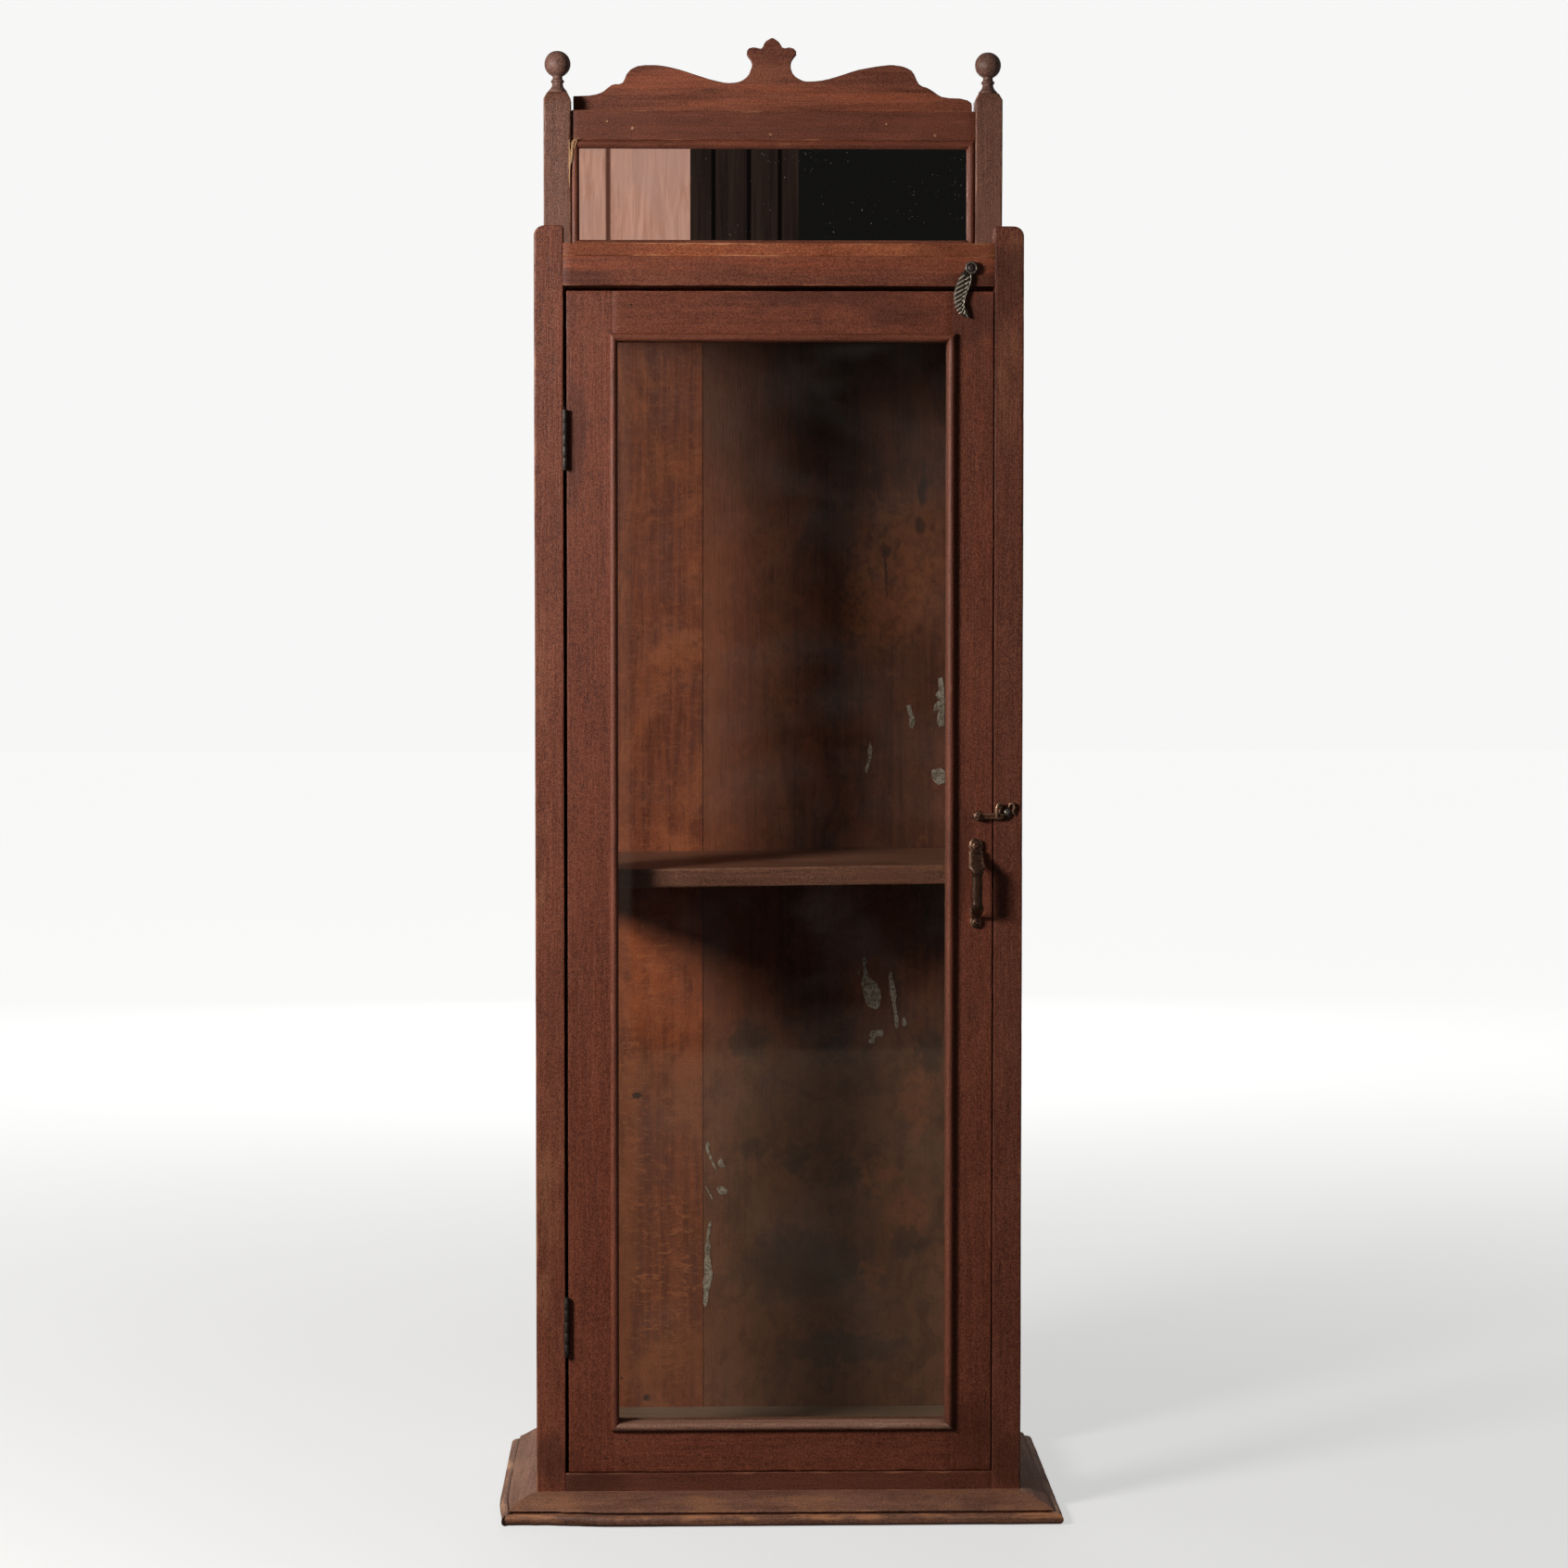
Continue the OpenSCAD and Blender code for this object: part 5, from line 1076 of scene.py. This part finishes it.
CHIPS = [
    [(154.1, 723.9), (158.1, 725.3), (159.4, 715.3), (160.1, 698.7), (159.5, 680.1), (155.5, 678.8), (152.8, 684.1), (154.8, 695.4), (149.5, 693.4), (150.8, 700.0), (155.5, 704.0), (151.5, 708.7), (154.8, 713.3)],
    [(124.2, 698.7), (128.2, 700.0), (130.2, 692.1), (132.9, 684.1), (130.2, 676.8), (126.9, 680.1), (127.6, 688.1)],
    [(91.0, 665.5), (93.0, 658.9), (91.7, 648.9), (87.8, 635.6), (85.8, 638.9), (89.1, 648.9), (88.4, 657.5)],
    [(148.3, 638.8), (155.6, 640.8), (160.9, 637.5), (160.3, 626.8), (154.3, 624.9), (149.0, 629.5)],
    [(85.5, 464.5), (87.5, 462.2), (87.9, 452.7), (90.2, 444.8), (96.6, 440.0), (100.5, 433.7), (101.3, 425.8), (99.7, 417.9), (97.4, 414.7), (92.7, 416.3), (88.7, 417.9), (86.3, 424.2), (84.0, 432.1), (82.8, 440.0), (84.7, 446.4), (84.4, 455.8), (83.6, 461.4)],
    [(109.5, 450.7), (111.5, 449.5), (112.3, 443.1), (114.7, 435.2), (115.8, 427.3), (114.7, 421.0), (116.3, 413.1), (117.9, 403.6), (117.1, 397.2), (114.8, 397.6), (114.0, 403.6), (113.2, 413.1), (111.6, 421.0), (110.0, 428.9), (109.2, 438.4), (108.4, 444.7)],
    [(121.8, 406.7), (123.4, 407.5), (125.8, 401.2), (124.2, 398.5), (121.9, 398.8), (121.1, 402.0)],
    [(89.5, 391.0), (92.7, 394.9), (98.2, 395.7), (102.9, 395.4), (103.7, 391.0), (101.4, 388.6), (98.2, 389.4), (95.4, 387.8), (95.1, 383.1), (91.1, 382.8), (89.1, 384.7), (91.9, 387.8)],
    [(78.9, 451.4), (81.1, 450.8), (80.5, 447.3), (79.1, 448.3)],
    [(-61.1, 291.6), (-59.0, 289.1), (-59.7, 283.8), (-57.8, 278.1), (-52.5, 264.9), (-53.4, 264.1), (-59.7, 277.2), (-62.2, 283.8), (-62.6, 289.1)],
    [(-50.2, 274.2), (-47.5, 275.3), (-46.6, 271.0), (-44.3, 267.9), (-47.1, 266.2), (-50.2, 267.9), (-51.3, 271.1)],
    [(-51.9, 247.8), (-47.1, 249.3), (-41.8, 245.6), (-43.9, 242.1), (-49.2, 241.4), (-51.7, 244.2)],
    [(-63.2, 248.9), (-61.8, 248.9), (-58.0, 242.1), (-55.9, 237.0), (-56.9, 236.6), (-59.7, 242.1)],
    [(-59.3, 215.0), (-57.2, 216.7), (-58.0, 208.7), (-59.7, 200.2), (-58.2, 191.7), (-58.7, 183.3), (-57.6, 174.8), (-55.9, 166.3), (-57.6, 157.8), (-59.7, 149.3), (-61.0, 138.7), (-63.5, 135.4), (-65.2, 138.8), (-64.3, 149.4), (-65.4, 157.9), (-63.5, 166.3), (-64.3, 174.8), (-63.1, 183.3), (-63.5, 191.8), (-61.8, 200.2), (-61.0, 208.7)],
]
V, F, E = merge([flake(q, 201.55, 202.10, 1.0, 0.5, 3.0 + i) for i, q in enumerate(CHIPS)])
make("back_paint_flakes", V, F, chips, "case", (), E)


def sliver(a, b, w, t, bend, seed):
    """A long splinter of raw wood, thick in the middle and thin at both ends."""
    secs = []
    for i in range(9):
        f = i / 8
        k = math.sqrt(max(0.01, 1 - (2 * f - 1) ** 2)) * (0.75 + 0.5 * abs(nz(f * 3, seed)))
        x = a[0] + (b[0] - a[0]) * f + bend * math.sin(math.pi * f) + 0.5 * nz(f * 4, seed, 2)
        y = a[1] + (b[1] - a[1]) * f
        z = a[2] + (b[2] - a[2]) * f
        secs.append([((x + w * k * math.cos(math.pi * j / 3), y - t * k * math.sin(math.pi * j / 3), z), 0.6) for j in range(6)])
    return rings(secs)


SLIVERS = [((-184.6, 184.5, 1219), (-186.4, 184.9, 1196), 1.5, 0.9, 0.8), ((-182.4, 184.5, 1221.5), (-184.6, 184.9, 1204), 1.1, 0.8, -0.8), ((-187.6, 184.6, 1221), (-187.4, 185.0, 1188), 1.0, 0.8, 0.5),
           ((-180.2, 184.5, 1220.4), (-183.4, 185.0, 1211), 1.0, 0.7, 0.6), ((-186.0, 184.6, 1206), (-186.9, 185.1, 1176), 0.9, 0.7, -0.4), ((-178, 184.6, 1221.6), (-184, 184.9, 1217.6), 0.9, 0.7, 0.0)]
V, F, E = merge([sliver(a, b, w_, t_, bd, 5.0 + i) for i, (a, b, w_, t_, bd) in enumerate(SLIVERS)])
make("gallery_splinters", V, F, wood_raw, "case", (), E)
marks = []
for i, (mx, mz, mr, my) in enumerate(((-129.5, 1230.5, 1.5, 187.9), (-153.0, 1237.0, 1.1, 187.9), (-2.5, 1225.0, 1.2, 187.9), (104.0, 1235.0, 1.0, 187.9), (149.0, 1224.6, 1.2, 187.9))):
    part = lathe([(0, 0), (mr, 0), (mr, 0.35), (mr * 0.7, 0.5), (mr * 0.55, 0.28), (0, 0.25)], 20)
    marks.append(xf(part, lambda x, y, z, mx=mx, mz=mz, my=my: (mx + x, my + 0.15 - z, mz + y * 0.9)))
V, F, E = merge(marks)
make("gallery_filled_nail_marks", V, F, wood_raw, "case", (), E)
# a stop strip behind the hinge stile, near black as painted shade in the gap
V, F, E = worn_bar("Z", 40.0, 1063.0, lambda s: (-186.0, -181.8, 21.5, 24.8), r=0.5, seed=77, end_r=(0.3, 0.3), step=20)
make("door_stop_strip", V, F, wood_gap_shadow, "case", (), E)
cad("bottom_board", wood_floor, 0.0006, 2)
cad("glue_blocks", wood_in_x, 0.0008, 2)
cad("glass_fillets", wood_in_z, 0.0004, 1)
cad("mirror_glass", mirror)
cad("mirror_backing", wood_in_x, 0.0005, 1)
cad("door_glass", glass_door)


# ------------------------------------------------------------------ small marks
def disc(x, z, r, y, depth=0.35, seg=14):
    """A nail head, a little proud or sunk, facing the front."""
    V = [(x, y - depth, z)]
    E = [0.5]
    F = []
    for rr, yy in ((0.7 * r, y - depth * 0.9), (r, y - depth * 0.3), (r, y + 0.4)):
        for j in range(seg):
            a = 2 * math.pi * j / seg
            V.append((x + rr * math.cos(a), yy, z + rr * math.sin(a)))
            E.append(0.4)
    for j in range(seg):
        F.append((0, 1 + j, 1 + (j + 1) % seg))
    for k in range(2):
        for j in range(seg):
            a, b = 1 + k * seg + j, 1 + k * seg + (j + 1) % seg
            F.append((a, b, b + seg, a + seg))
    F.append(tuple(1 + 2 * seg + j for j in range(seg)))
    return V, F, E


nails_door = [(-170.2, 60.3), (-152.7, 61.7), (-150.8, 51.2), (-133.0, 66.8), (179.6, 99.0), (-128.0, 1052.0)]
V, F, E = merge([disc(x, z, 0.95, 0.02, 0.12) for x, z in nails_door])
make("door_nail_heads", V, F, iron, "door", (), E)
nails_case = [(169.5, 1099.5, 0.0), (-198.0, 1082.0, 0.0), (198.0, 1080.0, 0.0), (-199, 18, 0.0)]
parts = [disc(x, z, 0.9, y, 0.12) for x, z, y in nails_case]
parts += [disc(x, z, 0.9, 188.0, 0.12) for x, z in ((-128.5, 1228.6), (-2.6, 1222.8))]
V, F, E = merge(parts)
make("case_nail_heads", V, F, iron, "case", (), E)


# ------------------------------------------------------------------ camera and light
cam_d = bpy.data.cameras.new("camera")
cam = bpy.data.objects.new("camera", cam_d)
scene.collection.objects.link(cam)
cam.location = (-0.0792, -2.727, 0.8141)
cam.rotation_euler = (math.radians(90 - 2.051), 0.0, math.radians(-1.195))
cam_d.sensor_width = 36.0
cam_d.lens = 3298.6 * 36.0 / 1692.0
cam_d.shift_x = (846 - 810.7) / 1692
cam_d.shift_y = -(846 - 745.9) / 1692
scene.camera = cam


def lamp(name, kind, loc, power, size, aim=None, color=(1, 1, 1)):
    d = bpy.data.lights.new(name, kind)
    d.energy = power
    d.color = color
    if kind == "AREA":
        d.shape = "DISK"
        d.size = size
    else:
        d.shadow_soft_size = size
    o = bpy.data.objects.new(name, d)
    o.location = loc
    if aim is not None:
        o.rotation_euler = (Vector(aim) - Vector(loc)).to_track_quat("-Z", "Y").to_euler()
    scene.collection.objects.link(o)
    return o


lamp("key", "POINT", (-1.38, -1.07, 1.22), 128.0, 0.25, color=(1.0, 0.985, 0.96))
lamp("back_fill", "AREA", (-0.1, 3.0, 1.2), 22.0, 1.4, (0, 0.1, 0.6))

# a pale floor, and emissive cards that only the mirror and the glass see, painting the reflections in them
def plane(name, x0, x1, y0, y1, z0, z1, mat):
    if z0 == z1:
        vs = [(x0, y0, z0), (x1, y0, z0), (x1, y1, z0), (x0, y1, z0)]
    else:
        vs = [(x0, y0, z0), (x1, y0, z0), (x1, y0, z1), (x0, y0, z1)]
    me = bpy.data.meshes.new(name)
    me.from_pydata(vs, [], [(0, 1, 2, 3)])
    me.materials.append(mat)
    o = bpy.data.objects.new(name, me)
    scene.collection.objects.link(o)
    return o


w = Tree("stage_floor")
n_ = w.noise(w.mapping((3, 3, 3)), 1, 3, 0.5)
x_, y_, z_ = w.xyz()
far = w.math("SQRT", w.math("ADD", w.math("MULTIPLY", x_, x_), w.math("MULTIPLY", y_, y_)))
p_ = w.principled(w.mix(n_, (0.36, 0.358, 0.353), (0.38, 0.378, 0.372)), 0.95, None, Specular_IOR_Level=0.1)
w.put(p_.inputs["Emission Color"], (0.93, 0.93, 0.925))
w.put(p_.inputs["Emission Strength"], w.ramp(far, 0.3, 3.2, 0.58, 0.96))
floor_mat = w.done(p_.outputs[0])
floor = plane("stage_floor", -9, 9, -6, 12, 0, 0, floor_mat)
floor.visible_glossy = False
floor.visible_diffuse = False


def card(name, color, strength, x0, x1, y, z0, z1, nodes=None):
    w = Tree(name)
    col = nodes(w) if nodes else color
    e = w.node("ShaderNodeEmission", Strength=strength)
    w.put(e.inputs["Color"], col)
    o = plane(name, x0, x1, y, y, z0, z1, w.done(e.outputs[0]))
    o.visible_camera = False
    o.visible_diffuse = False
    o.visible_shadow = False
    o.visible_transmission = False
    return o


card("stage_card_dark", (0.008, 0.008, 0.0075), 1.0, -2.0, 2.2, -4.2, -1.6, 2.6)


def panels(w):
    x, y, z = w.xyz()
    g = w.noise(w.mapping((70, 70, 3)), 1, 4, 0.6, 0.4)
    c = w.mix(w.ramp(g, 0.3, 0.7), (0.014, 0.009, 0.008), (0.032, 0.020, 0.015))
    for at_ in (-0.02, 0.06, 0.13):
        c = w.mix(w.ramp(w.math("ABSOLUTE", w.math("SUBTRACT", x, at_)), 0.003, 0.007, 1.0, 0.0), c, (0.004, 0.003, 0.003))
    return c


card("stage_card_panels", None, 1.0, -0.0724, 0.172, -4.0, 1.40, 2.05, panels)


def boards(w):
    x, y, z = w.xyz()
    g = w.noise(w.mapping((55, 55, 5)), 1, 5, 0.62, 1.6)
    b = w.noise(w.mapping((9, 9, 6)), 1, 3, 0.6, 0.4)
    c = w.mix(w.ramp(g, 0.35, 0.65), (0.46, 0.235, 0.17), (0.62, 0.34, 0.255))
    c = w.mix(w.ramp(b, 0.40, 0.65, 0.0, 0.6), c, (0.50, 0.30, 0.25))
    line = w.ramp(w.math("ABSOLUTE", w.math("ADD", x, 0.257)), 0.003, 0.008, 1.0, 0.0)
    c = w.mix(line, c, (0.12, 0.045, 0.03))
    return c


card("stage_card_boards", None, 1.0, -0.75, -0.0724, -3.98, 1.40, 2.05, boards)
card("stage_card_veil", (0.20, 0.16, 0.13), 1.0, -0.85, -0.20, -3.97, -0.19, 1.40)
card("stage_card_ground", (0.17, 0.120, 0.085), 1.0, -2.0, 2.0, -3.96, -1.5, -0.19)

world = bpy.data.worlds.new("studio")
scene.world = world
world.use_nodes = True
t = world.node_tree
t.nodes.clear()
out = t.nodes.new("ShaderNodeOutputWorld")
bg_seen = t.nodes.new("ShaderNodeBackground")
bg_light = t.nodes.new("ShaderNodeBackground")
bg_seen.inputs[0].default_value = (0.93, 0.93, 0.925, 1)
bg_seen.inputs[1].default_value = 1.0
bg_light.inputs[0].default_value = (1.0, 0.99, 0.98, 1)
bg_light.inputs[1].default_value = 0.13
wc = t.nodes.new("ShaderNodeTexCoord")
ws = t.nodes.new("ShaderNodeSeparateXYZ")
t.links.new(wc.outputs["Generated"], ws.inputs[0])
wm = t.nodes.new("ShaderNodeMapRange")
wm.interpolation_type = "SMOOTHSTEP"
for k_, v_ in (("From Min", -0.75), ("From Max", 0.35), ("To Min", 0.045), ("To Max", 0.17)):
    wm.inputs[k_].default_value = v_
t.links.new(ws.outputs[1], wm.inputs["Value"])
t.links.new(wm.outputs["Result"], bg_light.inputs[1])
lp = t.nodes.new("ShaderNodeLightPath")
mx = t.nodes.new("ShaderNodeMixShader")
t.links.new(lp.outputs["Is Camera Ray"], mx.inputs[0])
t.links.new(bg_light.outputs[0], mx.inputs[1])
t.links.new(bg_seen.outputs[0], mx.inputs[2])
t.links.new(mx.outputs[0], out.inputs["Surface"])
scene.view_settings.view_transform = "Standard"
scene.view_settings.look = "None"
scene.view_settings.exposure = 0.0
scene.view_settings.gamma = 1.0
